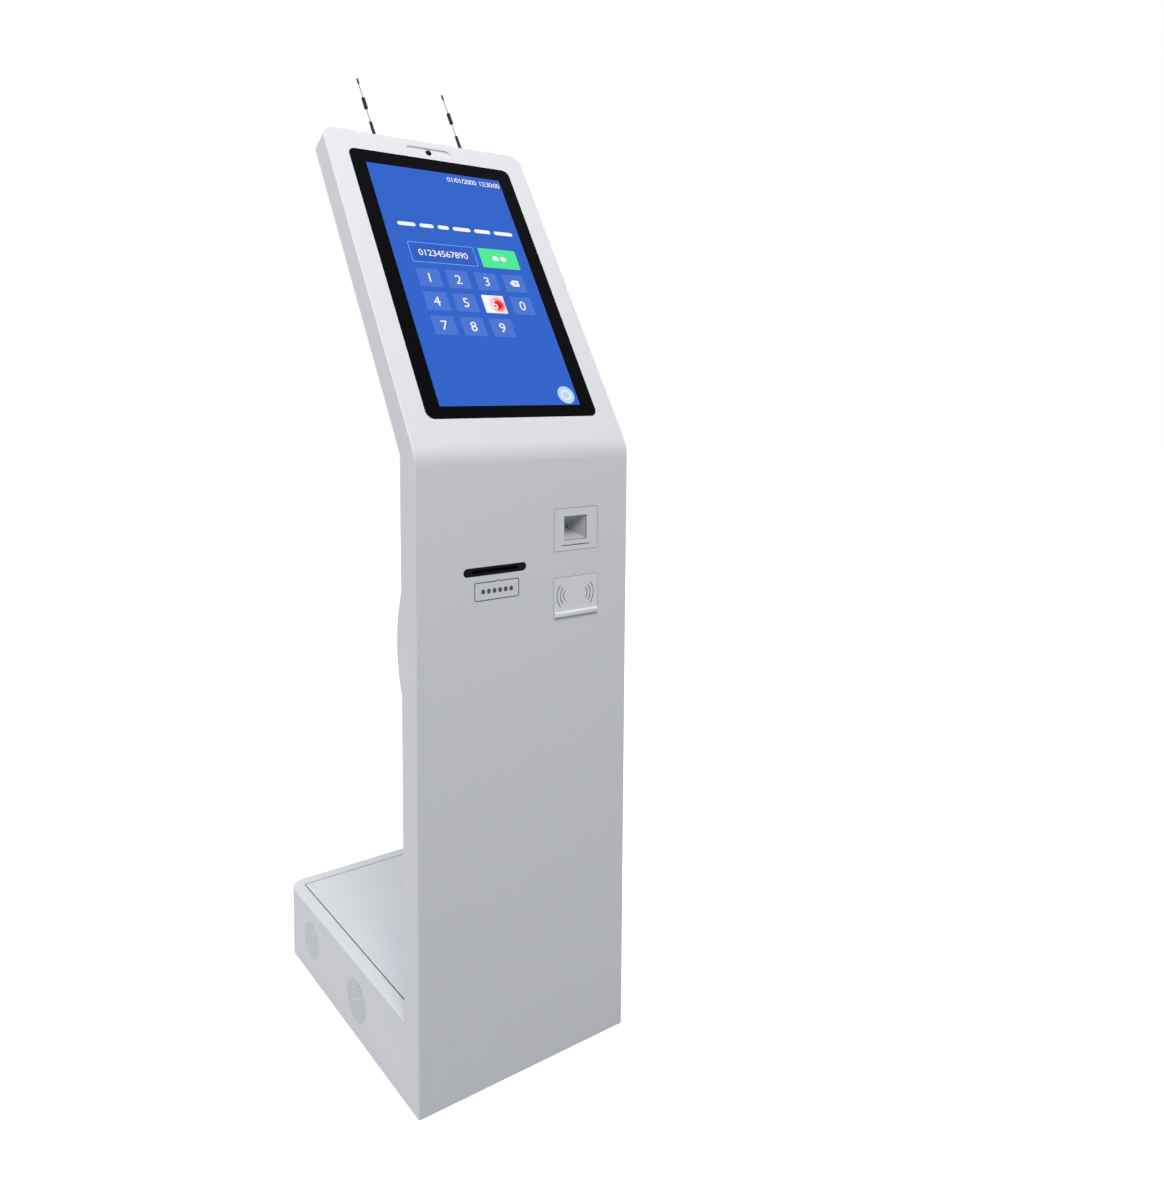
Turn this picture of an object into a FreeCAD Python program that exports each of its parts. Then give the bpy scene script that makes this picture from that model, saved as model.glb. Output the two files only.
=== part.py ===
import FreeCAD, Part
import math
import os

from FreeCAD import Placement, Rotation, Vector

# Slim free-standing queue ticket kiosk: a flat column that bends back into a head with a touch screen,
# standing on a low base box. Millimetres, +Z up, the front faces -Y. Each sub-part is drawn with y = 0 on
# the column's front face and z = 0 on the floor, and is moved to the centre of the footprint when saved.
# Head pieces are drawn upright, with x across, y as the depth behind the head's face and z as the
# distance up the face from the fold, and are then leaned back.

# Overall shape
WIDTH = 440.0
COLUMN_DEPTH = 50.0
HEAD_DEPTH = 43.0
FOLD_HEIGHT = 1107.0
LEAN = 31.0
HEAD_LENGTH = 688.0
FOLD_RADIUS = 55.0
HEAD_CORNER = 25.0
FRONT_SHEET = 2.5
SHEET = 2.0
EDGE_ROUND = 2.0
FLANGE = 14.0
SEAM = 1.5
FIT = 0.3
RUN = 0.05

# Base box
BASE_HEIGHT = 145.0
BASE_REAR = 588.0
BASE_CORNER = 35.0
RIM = 26.0
RIM_SHEET = 2.5
LEDGE = 10.0
BASE_PLATE = 6.0
PAD_HEIGHT = 2.0
PAD_RADIUS = 20.0
PAD_INSET = 45.0
PAD_FRONT = 35.0
ANCHOR_X = 300.0
ANCHOR_Y = 380.0
ANCHOR_RADIUS = 6.0
ANCHOR_CENTRE_Y = 320.0
LID_CORNER = 6.0

# Round perforated fields in the left side of the base: distance from the column or the rear, height, radius
SPEAKER_BEHIND = 193.0
SPEAKER_Z = 73.0
SPEAKER_FIELD = 42.0
FAN_FROM_REAR = 131.0
FAN_Z = 80.0
FAN_FIELD = 38.0
FAN_THICK = 25.0
FAN_HUB = 15.0
PERFORATION = 1.5
PERFORATION_PITCH = 6.0

# Mains inlet and power switch in the back of the base
INLET_X = 110.0
INLET_Z = 50.0
INLET_WIDTH = 28.0
INLET_HEIGHT = 21.0
INLET_PROUD = 2.0
ROCKER_X = 70.0
ROCKER_WIDTH = 14.0
ROCKER_HEIGHT = 21.0
ROCKER_SINK = 6.0

# Paper door at the back, with the curved bulge over the paper roll
BULGE_RISE = 16.0
BULGE_RADIUS = 247.0
DOOR_BELOW = 30.6
DOOR_ABOVE = 14.1
HINGE_OUTER = 3.0
HINGE_PIN = 1.5
KNUCKLE_LENGTH = 40.0
KNUCKLE_PITCH = 60.0
LOCK_RAISE = 15.0
LOCK_RADIUS = 8.0
LOCK_CORE = 5.0
LOCK_FLANGE = 10.0
CAM_LENGTH = 27.0

# Back covers: screws set in from the ends, and rows of vent slots
SCREW_INSET = 32.0
HEAD_SCREW_INSET = 50.0
SCREW_RADIUS = 2.0
SCREW_HEAD = 3.8
VENT_PITCH_X = 60.0
VENT_PITCH_Z = 10.0
VENT_LENGTH = 44.0
VENT_WIDTH = 4.0
VENT_COLUMNS = 5
VENT_ROWS = 6
VENT_INSET = 80.0

# Touch glass and display, by the white and black borders round them
GLASS_SIDE = 42.5
GLASS_LOW = 66.0
GLASS_ABOVE = 45.5
GLASS_THICK = 4.0
GLASS_CORNER = 15.0
GLASS_GAP = 0.4
DISPLAY_SIDE = 17.5
DISPLAY_BELOW = 5.0
DISPLAY_ABOVE = 11.5
DISPLAY_THICK = 12.0

# Camera recess above the glass
CAMERA_WIDTH = 101.0
CAMERA_HEIGHT = 22.0
CAMERA_DOWN = 26.0
CAMERA_DISH = 3.0
LENS_RADIUS = 6.0

# Whip antennas on the head's top edge
ANTENNA_X = 97.0
ANTENNA_FOOT = 34.0
ANTENNA_NECK = 18.0
ANTENNA_BARREL_START = 87.0
ANTENNA_BARREL = 28.0
ANTENNA_LENGTH = 166.0
ANTENNA_TIP = 13.0
FOOT_RADIUS = 4.5
NECK_RADIUS = 3.0
BARREL_RADIUS = 3.8
WHIP_RADIUS = 0.9
WHIP_START = 12.0
ANTENNA_STUD = 3.2
TIP_RADIUS = 1.9

# Ticket slot, scanner and card reader on the column, by their distance below the fold
SLOT_X = -68.0
SLOT_DOWN = 197.0
SLOT_WIDTH = 126.0
SLOT_HEIGHT = 15.0
MOUTH_WIDTH = 92.0
MOUTH_HEIGHT = 6.0
SCANNER_X = 102.5
SCANNER_DOWN = 141.0
SCANNER_WIDTH = 96.0
SCANNER_HEIGHT = 75.0
WINDOW_X = 101.3
WINDOW_RAISE = 1.5
WINDOW_WIDTH = 51.0
WINDOW_HEIGHT = 43.5
FUNNEL_DEPTH = 27.0
FUNNEL_END = 13.0
CARD_X = 102.7
CARD_DOWN = 261.5
CARD_WIDTH = 97.5
CARD_HEIGHT = 71.0
CARD_LEDGE = 9.5
LEDGE_OUT = 4.0

# Printer behind the slot, with places below or above the paper's line
PAPER_WIDTH = 80.0
ROLL_DOWN = 116.0
ROLL_CLEAR = 3.25
CORE_BORE = 6.05
SPINDLE_RADIUS = 4.0
PLATEN_RADIUS = 7.0
PLATEN_Y = 30.0
PLATEN_SHAFT = 3.0
GEAR_MODULE = 0.6
GEAR_WIDTH = 4.0
GEAR_SLACK = 0.12
PLATEN_TEETH = 24
IDLER_TEETH = 30
PINION_TEETH = 12
STUD = 2.0
MOTOR_RADIUS = 12.0
MOTOR_SHAFT = 1.2
MOTOR_Y = 28.0
MOTOR_DOWN = 33.0
CHEEK_OUT = 48.0
SHELF_DOWN = 58.0
COVER_HINGE_Y = 20.0
COVER_HINGE_UP = 16.0
COVER_PIN = 1.5
PRINTER_UP = 20.0
BOARD_UP = 10.0
BUTTON_RADIUS = 3.0

# Boards and boxes: heights from the base, and distances from the column or the rear
CONTROL_UP = 355.0
CONTROL_HALF = 80.0
COMPUTER_BEHIND = 40.0
POWER_FROM_REAR = 238.0
MODEM_FROM_REAR = 188.0

# Boards and the blocks on them: sides, ends and height of each block from the board's middle.
BOARD_SHEET = 1.6
DISPLAY_CHIP = (-20.0, 15.0, -10.0, 25.0, 2.4)
DISPLAY_SOCKET = (35.0, 65.0, -65.0, -30.0, 4.4)
CONTROL_CHIP = (10.0, 45.0, -10.0, 25.0, 3.4)
CONTROL_SOCKET = (-60.0, -20.0, -60.0, -40.0, 10.4)
CAMERA_SENSOR = (-8.0, 8.0, -8.0, 8.0, 3.4)
POST_RADIUS = 3.0
CONTROL_POST = 8.0
CONTROL_POST_INSET = 10.0

# Plate, straps, posts and board behind the display.
TRAY_SHEET = 1.5
TRAY_HALF = 95.0
TRAY_REACH = 170.0
STRAP_BELOW = 160.0
STRAP_ABOVE = 135.0
STRAP_WIDTH = 25.0
STRAP_SHORT = 6.0
TRAY_POST = 5.0
TRAY_POST_X = 60.0
TRAY_POST_S = 70.0
DISPLAY_BOARD_HALF = 70.0
DISPLAY_BOARD_REACH = 80.0

# Camera: lens barrel, domed front and board.
LENS_LENGTH = 6.0
DOME_RADIUS = 9.0
DOME_CENTRE = 6.2
CAMERA_BOARD_HALF = 30.0
CAMERA_BOARD_REACH = 9.0

# Plates let into the front: the hidden lip behind the panel and the rounding of corners.
LIP = 5.0
LIP_SHEET = 2.0
LIP_CORNER = 3.0
PLATE_CORNER = 2.0
TICKET_LIP = 2.5
TICKET_LIP_CORNER = 8.0
FUNNEL_WALL = 2.0
GROOVE_HALF = 30.5
GROOVE_DROP = 8.0
GROOVE_DEPTH = 1.5
GROOVE_TALL = 1.2
SCANNER_LENS = 3.0
SCANNER_WINDOW = 2.0
SCANNER_CASE_HALF = 20.0
SCANNER_CASE_TALL = 30.0
CARD_PROUD = 0.4
LEDGE_ROUND = 3.0
READER_HALF = 42.0
READER_THICK = 14.0
READER_TALL = 54.0

# Printer: where its pieces begin and end behind the column's face, and how far they reach past the paper.
SHELF_SIDE = 10.0
SHELF_FLANGE = 20.0
SHELF_SLIT_FRONT = 39.0
SHELF_SLIT_REAR = 43.0
PAPER_CLEAR = 2.0
CHEEK_FRONT = 16.0
CHEEK_REAR = 46.0
PRINTER_FLOOR_REAR = 38.0
MOTOR_LENGTH = 26.0
MOTOR_BORE = 10.0
MOTOR_SHAFT_IN = 6.0
CUTTER_FRONT = 8.5
CUTTER_BELOW_TOP = 6.0
CUTTER_SIDE = 4.0
CUTTER_SLOT_HALF = 3.0
CHANNEL_FRONT = 11.4
CHANNEL_REAR = 12.9
CHANNEL_BELOW = 8.0
BLADE_CLEAR = 0.1
BLADE_RAISE = 3.2
BLADE_STANDS = 2.0
COVER_SIDE = 0.5
COVER_REAR = 44.0
COVER_NOSE = 2.0
ARM_NOSE = 2.8
ARM_REAR = 40.0
ARM_DROP = 5.0
ARM_RAISE = 1.0
TAB_X = 20.0
TAB_FRONT = 36.0
TAB_REAR = 45.5
TAB_TOP = 6.0
HEAD_FRONT = 26.0
HEAD_REAR = 34.0
HEAD_GAP = 0.3
SINK_FRONT = 27.0
SINK_REAR = 38.0
SINK_RAISE = 4.0

# Printer's board on its posts, with the button's case.
BOARD_POST = 3.0
BOARD_POST_RADIUS = 2.0
BOARD_POST_PLACES = ((21.0, 6.0), (41.0, 34.0))
BOARD_FRONT = 17.0
BOARD_REAR = 45.0
BOARD_TALL = 36.0
BUTTON_CASE_FRONT = 34.0
BUTTON_CASE_REAR = 44.0
BUTTON_CASE_LOW = 4.0
BUTTON_CASE_HIGH = 14.0
BUTTON_CASE_OUT = 9.0
BUTTON_WELL_IN = 5.4
BUTTON_IN = 7.0
BUTTON_LENGTH = 6.0
BUTTON_Y = 39.0
BUTTON_UP = 9.0

# Bracket and spindle of the paper roll.
ROLL_SIDE = 5.0
BRACKET_HALF = 14.0
BRACKET_PAST_ROLL = 9.0
SPINDLE_PAST = 4.0
HUB_SHORT = 1.0

# Boxes on the floor plate: sides, length and height, with the computer's fins and the supply's vent holes.
COMPUTER_LEFT = -70.0
COMPUTER_RIGHT = 120.0
COMPUTER_LENGTH = 200.0
COMPUTER_TALL = 38.0
FIN_COUNT = 17
FIN_FIRST = -66.0
FIN_PITCH = 11.0
FIN_THICK = 3.0
FIN_TALL = 10.0
FIN_INSET = 4.0
POWER_LEFT = 10.0
POWER_RIGHT = 109.0
POWER_LENGTH = 190.0
POWER_TALL = 38.0
POWER_VENT_INSET = 20.0
POWER_VENT_PITCH = 20.0
POWER_VENT_ROWS = 8
POWER_VENT_COLUMNS = 4
POWER_VENT_RADIUS = 3.0
POWER_VENT_DEPTH = 2.0
MODEM_LEFT = -110.0
MODEM_RIGHT = -20.0
MODEM_LENGTH = 100.0
MODEM_TALL = 26.0

# Speaker and fan behind the round grilles.
GRILLE_MARGIN = 2.0
SPEAKER_FRAME = 3.0
BASKET_DEPTH = 14.0
BASKET_STEP = 3.0
MAGNET_RADIUS = 20.0
MAGNET_THICK = 10.0
CONE_STEP = 4.0
CONE_END = 10.0
CONE_DEPTH = 12.0
FAN_PLATE = 4.0
FAN_PIN = 2.0
FAN_PIN_START = 6.0
FAN_STRUT_HALF = 2.0
FAN_STRUTS = 4
FAN_START = 4.0
FAN_FREE = 9.0
BLADE_COUNT = 7
BLADE_HALF = 0.8
BLADE_PITCH = 35.0
BLADE_TIP_CLEAR = 2.0

# Mains inlet, switch case and rocker.
INLET_DEPTH = 22.0
INLET_FLANGE_WIDTH = 34.0
INLET_FLANGE_HEIGHT = 27.0
INLET_CORNER = 3.0
WELL_WIDTH = 24.0
WELL_HEIGHT = 16.5
WELL_FLOOR = 4.0
PIN_PLACES = ((-7.0, -2.0), (0.0, 2.0), (7.0, -2.0))
PIN_HALF_WIDTH = 1.0
PIN_HALF_HEIGHT = 2.0
PIN_SHORT = 3.0
SWITCH_DEPTH = 18.0
SWITCH_HALF_WIDTH = 6.7
SWITCH_HALF_HEIGHT = 10.1
SWITCH_FLANGE_WIDTH = 19.0
SWITCH_FLANGE_HEIGHT = 27.0
SWITCH_WELL_HALF = 5.5
SWITCH_WELL_REACH = 9.0
SWITCH_PIN = 1.0
PADDLE_HALF = 5.2
PADDLE_REACH = 7.2
PADDLE_BEHIND = 3.0
PADDLE_OUT = 6.5
DIP_RADIUS = 14.6
DIP_CENTRE = 19.5
ROCKER_PIN_HALF = 6.5
ROCKER_TILT = 6.0

# Everything below follows from the values above
HALF = WIDTH / 2
TILT = math.radians(LEAN)
TANGENT = FOLD_RADIUS * math.tan(TILT / 2)
BEND_Z = FOLD_HEIGHT - TANGENT
BOTTOM = PAD_HEIGHT
FLOOR_TOP = BOTTOM + BASE_PLATE
INNER = HALF - SHEET
COVER_HALF = INNER - 0.5
COLUMN_BACK = COLUMN_DEPTH - SHEET
BACK_FOLD_S = (COLUMN_DEPTH - HEAD_DEPTH * math.cos(TILT)) / math.sin(TILT)
BACK_FOLD_Z = FOLD_HEIGHT - HEAD_DEPTH * math.sin(TILT) + BACK_FOLD_S * math.cos(TILT)
WALL_TOP = BASE_HEIGHT - RIM_SHEET
CENTRE_Y = (BASE_REAR + INLET_PROUD - LEDGE_OUT) / 2
SPEAKER_Y = COLUMN_DEPTH + SPEAKER_BEHIND
FAN_Y = BASE_REAR - FAN_FROM_REAR
ROCKER_AXIS_Y = BASE_REAR - ROCKER_SINK
GLASS_WIDTH = WIDTH - 2 * GLASS_SIDE
GLASS_HIGH = HEAD_LENGTH - GLASS_ABOVE
DISPLAY_WIDTH = GLASS_WIDTH - 2 * DISPLAY_SIDE
DISPLAY_LOW = GLASS_LOW + DISPLAY_BELOW
DISPLAY_HIGH = GLASS_HIGH - DISPLAY_ABOVE
DISPLAY_MIDDLE = (DISPLAY_LOW + DISPLAY_HIGH) / 2
CAMERA_S = HEAD_LENGTH - CAMERA_DOWN
SLOT_Z = FOLD_HEIGHT - SLOT_DOWN
SCANNER_Z = FOLD_HEIGHT - SCANNER_DOWN
WINDOW_Z = SCANNER_Z + WINDOW_RAISE
CARD_Z = FOLD_HEIGHT - CARD_DOWN
PAPER_Z = SLOT_Z
PLATEN_Z = PAPER_Z - PLATEN_RADIUS
MOTOR_Z = PAPER_Z - MOTOR_DOWN
SHELF_Z = PAPER_Z - SHELF_DOWN
COVER_HINGE_Z = PAPER_Z + COVER_HINGE_UP
PRINTER_TOP = PAPER_Z + PRINTER_UP
BOARD_Z = SHELF_Z + BOARD_UP
GEAR_X = SLOT_X - CHEEK_OUT - FIT - GEAR_WIDTH
BULGE_CENTRE = PAPER_Z - ROLL_DOWN
BULGE_AXIS = COLUMN_DEPTH + BULGE_RISE - BULGE_RADIUS
BULGE_CHORD = math.sqrt(BULGE_RADIUS ** 2 - (COLUMN_DEPTH - BULGE_AXIS) ** 2)
DOOR_BOTTOM = BULGE_CENTRE - BULGE_CHORD - DOOR_BELOW
HINGE_HEIGHT = BULGE_CENTRE + BULGE_CHORD + DOOR_ABOVE
HINGE_Y = COLUMN_DEPTH + HINGE_OUTER
LOCK_HEIGHT = DOOR_BOTTOM + LOCK_RAISE
ROLL_WELL = COLUMN_DEPTH + BULGE_RISE - SHEET - FRONT_SHEET - SHEET
ROLL_RADIUS = ROLL_WELL / 2 - ROLL_CLEAR
ROLL_Y = FRONT_SHEET + SHEET + ROLL_WELL / 2
X_AXIS = Vector(1, 0, 0)
Y_AXIS = Vector(0, 1, 0)
Z_AXIS = Vector(0, 0, 1)


def box(x0, x1, y0, y1, z0, z1):
    return Part.makeBox(x1 - x0, y1 - y0, z1 - z0, Vector(x0, y0, z0))


def rod(x, y, z, axis, radius, length):
    return Part.makeCylinder(radius, length, Vector(x, y, z), axis)


def tube(x, y, z, axis, outer, inner, length):
    return rod(x, y, z, axis, outer, length).cut(rod(x, y, z, axis, inner, length))


def join(shapes):
    return shapes[0].multiFuse(shapes[1:]).removeSplitter()


def group(shapes):
    return Part.makeCompound(shapes)


def outline_prism(points, x0, x1):
    # A straight-sided outline in the YZ plane, drawn out along X.
    corners = [Vector(x0, y, z) for y, z in points]
    wire = Part.makePolygon(corners + corners[:1])
    return Part.Face(wire).extrude(Vector(x1 - x0, 0, 0))


def rounded_prism(x, z, width, height, radius, y0, y1):
    # A rectangle in the XZ plane with rounded corners, drawn out along Y.
    radius = min(radius, width / 2 - 0.01, height / 2 - 0.01)
    across = box(x - width / 2 + radius, x + width / 2 - radius, y0, y1, z - height / 2, z + height / 2)
    along = box(x - width / 2, x + width / 2, y0, y1, z - height / 2 + radius, z + height / 2 - radius)
    shapes = [across, along]
    for side in (-1, 1):
        for level in (-1, 1):
            corner_x = x + side * (width / 2 - radius)
            corner_z = z + level * (height / 2 - radius)
            shapes.append(rod(corner_x, y0, corner_z, Y_AXIS, radius, y1 - y0))
    return join(shapes)


def lean(shape):
    leaned = shape.copy()
    fold = Placement(Vector(0, 0, FOLD_HEIGHT), Rotation(X_AXIS, -LEAN))
    leaned.Placement = fold.multiply(shape.Placement)
    return leaned


def save(name, shape):
    placed = shape.copy()
    placed.translate(Vector(0, -CENTRE_Y, 0))
    placed.exportStep("parts/" + name + ".step")


def face_path(offset, top):
    # Edges from the floor up the front face, at a depth behind it, to a distance up the head.
    bend_radius = FOLD_RADIUS - offset

    def on_bend(angle):
        y = FOLD_RADIUS - bend_radius * math.cos(angle)
        z = BEND_Z + bend_radius * math.sin(angle)
        return Vector(0, y, z)

    low = Vector(0, offset, BOTTOM)
    start = on_bend(0)
    end = on_bend(TILT)
    rise = top - TANGENT
    high = Vector(0, end.y + rise * math.sin(TILT), end.z + rise * math.cos(TILT))
    arc = Part.Arc(start, on_bend(TILT / 2), end).toShape()
    return [Part.LineSegment(low, start).toShape(), arc, Part.LineSegment(end, high).toShape()]


def band_outline(offset, top):
    # The column and head seen from the side, from a depth behind the face to the back.
    front = face_path(offset, top)
    high = front[2].Vertexes[1].Point
    back_high = Vector(0, high.y, high.z)
    depth = HEAD_DEPTH - offset
    back_high = back_high + Vector(0, depth * math.cos(TILT), -depth * math.sin(TILT))
    fold = Vector(0, COLUMN_DEPTH, BACK_FOLD_Z)
    edges = front + [Part.LineSegment(high, back_high).toShape(), Part.LineSegment(back_high, fold).toShape()]
    foot = Vector(0, COLUMN_DEPTH, BOTTOM)
    upper = Vector(0, COLUMN_DEPTH, BULGE_CENTRE + BULGE_CHORD)
    lower = Vector(0, COLUMN_DEPTH, BULGE_CENTRE - BULGE_CHORD)
    crest = Vector(0, COLUMN_DEPTH + BULGE_RISE, BULGE_CENTRE)
    edges.append(Part.LineSegment(fold, upper).toShape())
    edges.append(Part.Arc(upper, crest, lower).toShape())
    edges.append(Part.LineSegment(lower, foot).toShape())
    edges.append(Part.LineSegment(foot, Vector(0, offset, BOTTOM)).toShape())
    return Part.Face(Part.Wire(Part.__sortEdges__(edges)))


def front_blank():
    outer = face_path(0, HEAD_LENGTH)
    inner = face_path(FRONT_SHEET, HEAD_LENGTH)
    top = Part.LineSegment(outer[2].Vertexes[1].Point, inner[2].Vertexes[1].Point).toShape()
    foot = Part.LineSegment(outer[0].Vertexes[0].Point, inner[0].Vertexes[0].Point).toShape()
    wire = Part.Wire(Part.__sortEdges__(outer + inner + [top, foot]))
    blank = Part.Face(wire).extrude(Vector(WIDTH, 0, 0))
    blank.translate(Vector(-HALF, 0, 0))
    return blank


def head_position(point):
    # Depth behind the head's face and distance up it.
    up = point.z - FOLD_HEIGHT
    depth = point.y * math.cos(TILT) - up * math.sin(TILT)
    return depth, point.y * math.sin(TILT) + up * math.cos(TILT)


def on_front_face(point):
    depth = head_position(point)[0]
    bend = math.hypot(point.y - FOLD_RADIUS, point.z - BEND_Z)
    near = 0.01
    if point.z <= BEND_Z + near:
        return abs(point.y) < near
    return abs(depth) < near or abs(bend - FOLD_RADIUS) < near


def round_top_corners(blank, radius):
    corners = []
    for edge in blank.Edges:
        depth, height = head_position(edge.CenterOfMass)
        at_side = abs(abs(edge.CenterOfMass.x) - HALF) < 0.01
        if at_side and abs(height - HEAD_LENGTH) < 0.01:
            corners.append(edge)
    return blank.makeFillet(radius, corners)


def soften_face_edge(panel):
    rim = []
    for edge in panel.Edges:
        first, last = edge.ParameterRange
        points = [edge.valueAt(first + (last - first) * share) for share in (0.1, 0.5, 0.9)]
        height = head_position(points[1])[1]
        outside = abs(points[1].x) > HALF - HEAD_CORNER or abs(height - HEAD_LENGTH) < 0.01
        if outside and all(on_front_face(point) for point in points):
            rim.append(edge)
    return panel.makeFillet(EDGE_ROUND, rim)


def front_panel():
    panel = soften_face_edge(round_top_corners(front_blank(), HEAD_CORNER))
    slot = rounded_prism(SLOT_X, SLOT_Z, SLOT_WIDTH, SLOT_HEIGHT, SLOT_HEIGHT / 2, -1, FRONT_SHEET + 1)
    scanner = rounded_prism(SCANNER_X, SCANNER_Z, SCANNER_WIDTH, SCANNER_HEIGHT, 2, -1, FRONT_SHEET + 1)
    card = rounded_prism(CARD_X, CARD_Z, CARD_WIDTH, CARD_HEIGHT, 2, -1, FRONT_SHEET + 1)
    middle = (GLASS_LOW + GLASS_HIGH) / 2
    tall = GLASS_HIGH - GLASS_LOW + 2 * GLASS_GAP
    wide = GLASS_WIDTH + 2 * GLASS_GAP
    glass = rounded_prism(0, middle, wide, tall, GLASS_CORNER + GLASS_GAP, -1, FRONT_SHEET + 1)
    camera = rounded_prism(0, CAMERA_S, CAMERA_WIDTH, CAMERA_HEIGHT, CAMERA_HEIGHT / 2, -1, FRONT_SHEET + 1)
    return panel.cut(group([slot, scanner, card, lean(glass), lean(camera)]))


def between(low, high, count):
    return [low + (high - low) * step / (count - 1) for step in range(count)]


def cover_screw_places():
    # x, z and whether the screw is on the head; along both side flanges and the head's top flange.
    middle = INNER - FLANGE / 2
    lower = between(BASE_HEIGHT + SCREW_INSET, DOOR_BOTTOM - SCREW_INSET, 3)
    upper = between(HINGE_HEIGHT + SCREW_INSET, BACK_FOLD_Z - SCREW_INSET, 2)
    head = between(BACK_FOLD_S + HEAD_SCREW_INSET, HEAD_LENGTH - HEAD_CORNER - HEAD_SCREW_INSET, 3)
    places = []
    for side in (-1, 1):
        places += [(side * middle, height, False) for height in lower + upper]
        places += [(side * middle, height, True) for height in head]
    places.append((0.0, HEAD_LENGTH - SHEET - FLANGE / 2, True))
    return places


def screw_holes(radius):
    holes = []
    for x, height, on_head in cover_screw_places():
        depth = HEAD_DEPTH if on_head else COLUMN_DEPTH
        hole = rod(x, depth - 3 * SHEET, height, Y_AXIS, radius, 5 * SHEET)
        holes.append(lean(hole) if on_head else hole)
    return group(holes)


def side_band(side):
    # Side strip of the column and head, with flanges turned in for the back covers to lie on.
    web = band_outline(FRONT_SHEET, HEAD_LENGTH - HEAD_CORNER).extrude(Vector(SHEET, 0, 0))
    web.translate(Vector(-HALF, 0, 0))
    depth = COLUMN_DEPTH - 2 * SHEET
    inner = -INNER + FLANGE
    lower = box(-INNER, inner, depth, depth + SHEET, BASE_HEIGHT, DOOR_BOTTOM - SEAM)
    upper = box(-INNER, inner, depth, depth + SHEET, HINGE_HEIGHT + SEAM, BACK_FOLD_Z - 4)
    head_depth = HEAD_DEPTH - 2 * SHEET
    head = box(-INNER, inner, head_depth, head_depth + SHEET, BACK_FOLD_S + 6, HEAD_LENGTH - HEAD_CORNER)
    band = join([web, lower, upper, lean(head)])
    if side > 0:
        band = band.mirror(Vector(0, 0, 0), X_AXIS)
    return band.cut(screw_holes(SCREW_RADIUS + 0.1))


def head_top_band():
    # Strip that closes the head's top edge and goes round both corners.
    low = HEAD_LENGTH - HEAD_CORNER
    outer = rounded_prism(0, HEAD_LENGTH / 2, WIDTH, HEAD_LENGTH, HEAD_CORNER, FRONT_SHEET, HEAD_DEPTH)
    tall = HEAD_LENGTH - 2 * SHEET
    inner_corner = HEAD_CORNER - SHEET
    inner = rounded_prism(0, HEAD_LENGTH / 2, 2 * INNER, tall, inner_corner, FRONT_SHEET - 1, HEAD_DEPTH + 1)
    keep = box(-HALF - 1, HALF + 1, 0, HEAD_DEPTH + 1, low, HEAD_LENGTH + 1)
    strip = outer.cut(inner).common(keep)
    depth = HEAD_DEPTH - 2 * SHEET
    reach = INNER - HEAD_CORNER
    top = HEAD_LENGTH - SHEET
    lip = box(-reach, reach, depth, depth + SHEET, top - FLANGE, top)
    band = lean(join([strip, lip]))
    holes = []
    for side in (-1, 1):
        hole = rod(side * ANTENNA_X, HEAD_DEPTH / 2, top - 1, Z_AXIS, ANTENNA_STUD + 0.1, SHEET + 2)
        holes.append(lean(hole))
    return band.cut(group(holes + [screw_holes(SCREW_RADIUS + 0.1)]))


def vent_slots(z_middle, y0, y1):
    slots = []
    for column in range(VENT_COLUMNS):
        for row in range(VENT_ROWS):
            x = (column - (VENT_COLUMNS - 1) / 2) * VENT_PITCH_X
            z = z_middle + (row - (VENT_ROWS - 1) / 2) * VENT_PITCH_Z
            slots.append(rounded_prism(x, z, VENT_LENGTH, VENT_WIDTH, VENT_WIDTH / 2, y0, y1))
    return group(slots)


def back_cover_lower():
    top = DOOR_BOTTOM - SEAM
    plate = box(-COVER_HALF, COVER_HALF, COLUMN_BACK, COLUMN_DEPTH, BASE_HEIGHT + SEAM, top)
    lip_half = INNER - FLANGE - 1
    lip = box(-lip_half, lip_half, COLUMN_BACK - 8, COLUMN_BACK, top - SHEET, top)
    vents = vent_slots(DOOR_BOTTOM - VENT_INSET, COLUMN_BACK - 1, COLUMN_DEPTH + 1)
    return join([plate, lip]).cut(group([vents, screw_holes(SCREW_RADIUS + FIT)]))


def knuckles(first, step, bore):
    # Hinge barrels along X on the hinge axis, centred on multiples of the knuckle pitch.
    barrels = []
    for place in range(first, -first + 1, step):
        x = place * KNUCKLE_PITCH - KNUCKLE_LENGTH / 2
        barrels.append(tube(x, HINGE_Y, HINGE_HEIGHT, X_AXIS, HINGE_OUTER, bore, KNUCKLE_LENGTH))
    return barrels


def hinge_leaf(first, step, z0, z1, bore):
    shapes = knuckles(first, step, bore)
    for place in range(first, -first + 1, step):
        x = place * KNUCKLE_PITCH - KNUCKLE_LENGTH / 2
        leaf = box(x, x + KNUCKLE_LENGTH, COLUMN_DEPTH, COLUMN_DEPTH + 1.2, z0, z1)
        clear = rod(x, HINGE_Y, HINGE_HEIGHT, X_AXIS, bore, KNUCKLE_LENGTH)
        shapes.append(leaf.cut(clear))
    return shapes


def back_cover_upper():
    top = BACK_FOLD_Z - 3
    low = HINGE_HEIGHT + 1
    plate = box(-COVER_HALF, COVER_HALF, COLUMN_BACK, COLUMN_DEPTH, low, top)
    leaves = hinge_leaf(-2, 2, HINGE_HEIGHT, HINGE_HEIGHT + 16, HINGE_PIN + RUN)
    vents = vent_slots((low + top) / 2, COLUMN_BACK - 1, COLUMN_DEPTH + 1)
    return join([plate] + leaves).cut(group([vents, screw_holes(SCREW_RADIUS + FIT)]))


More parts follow.
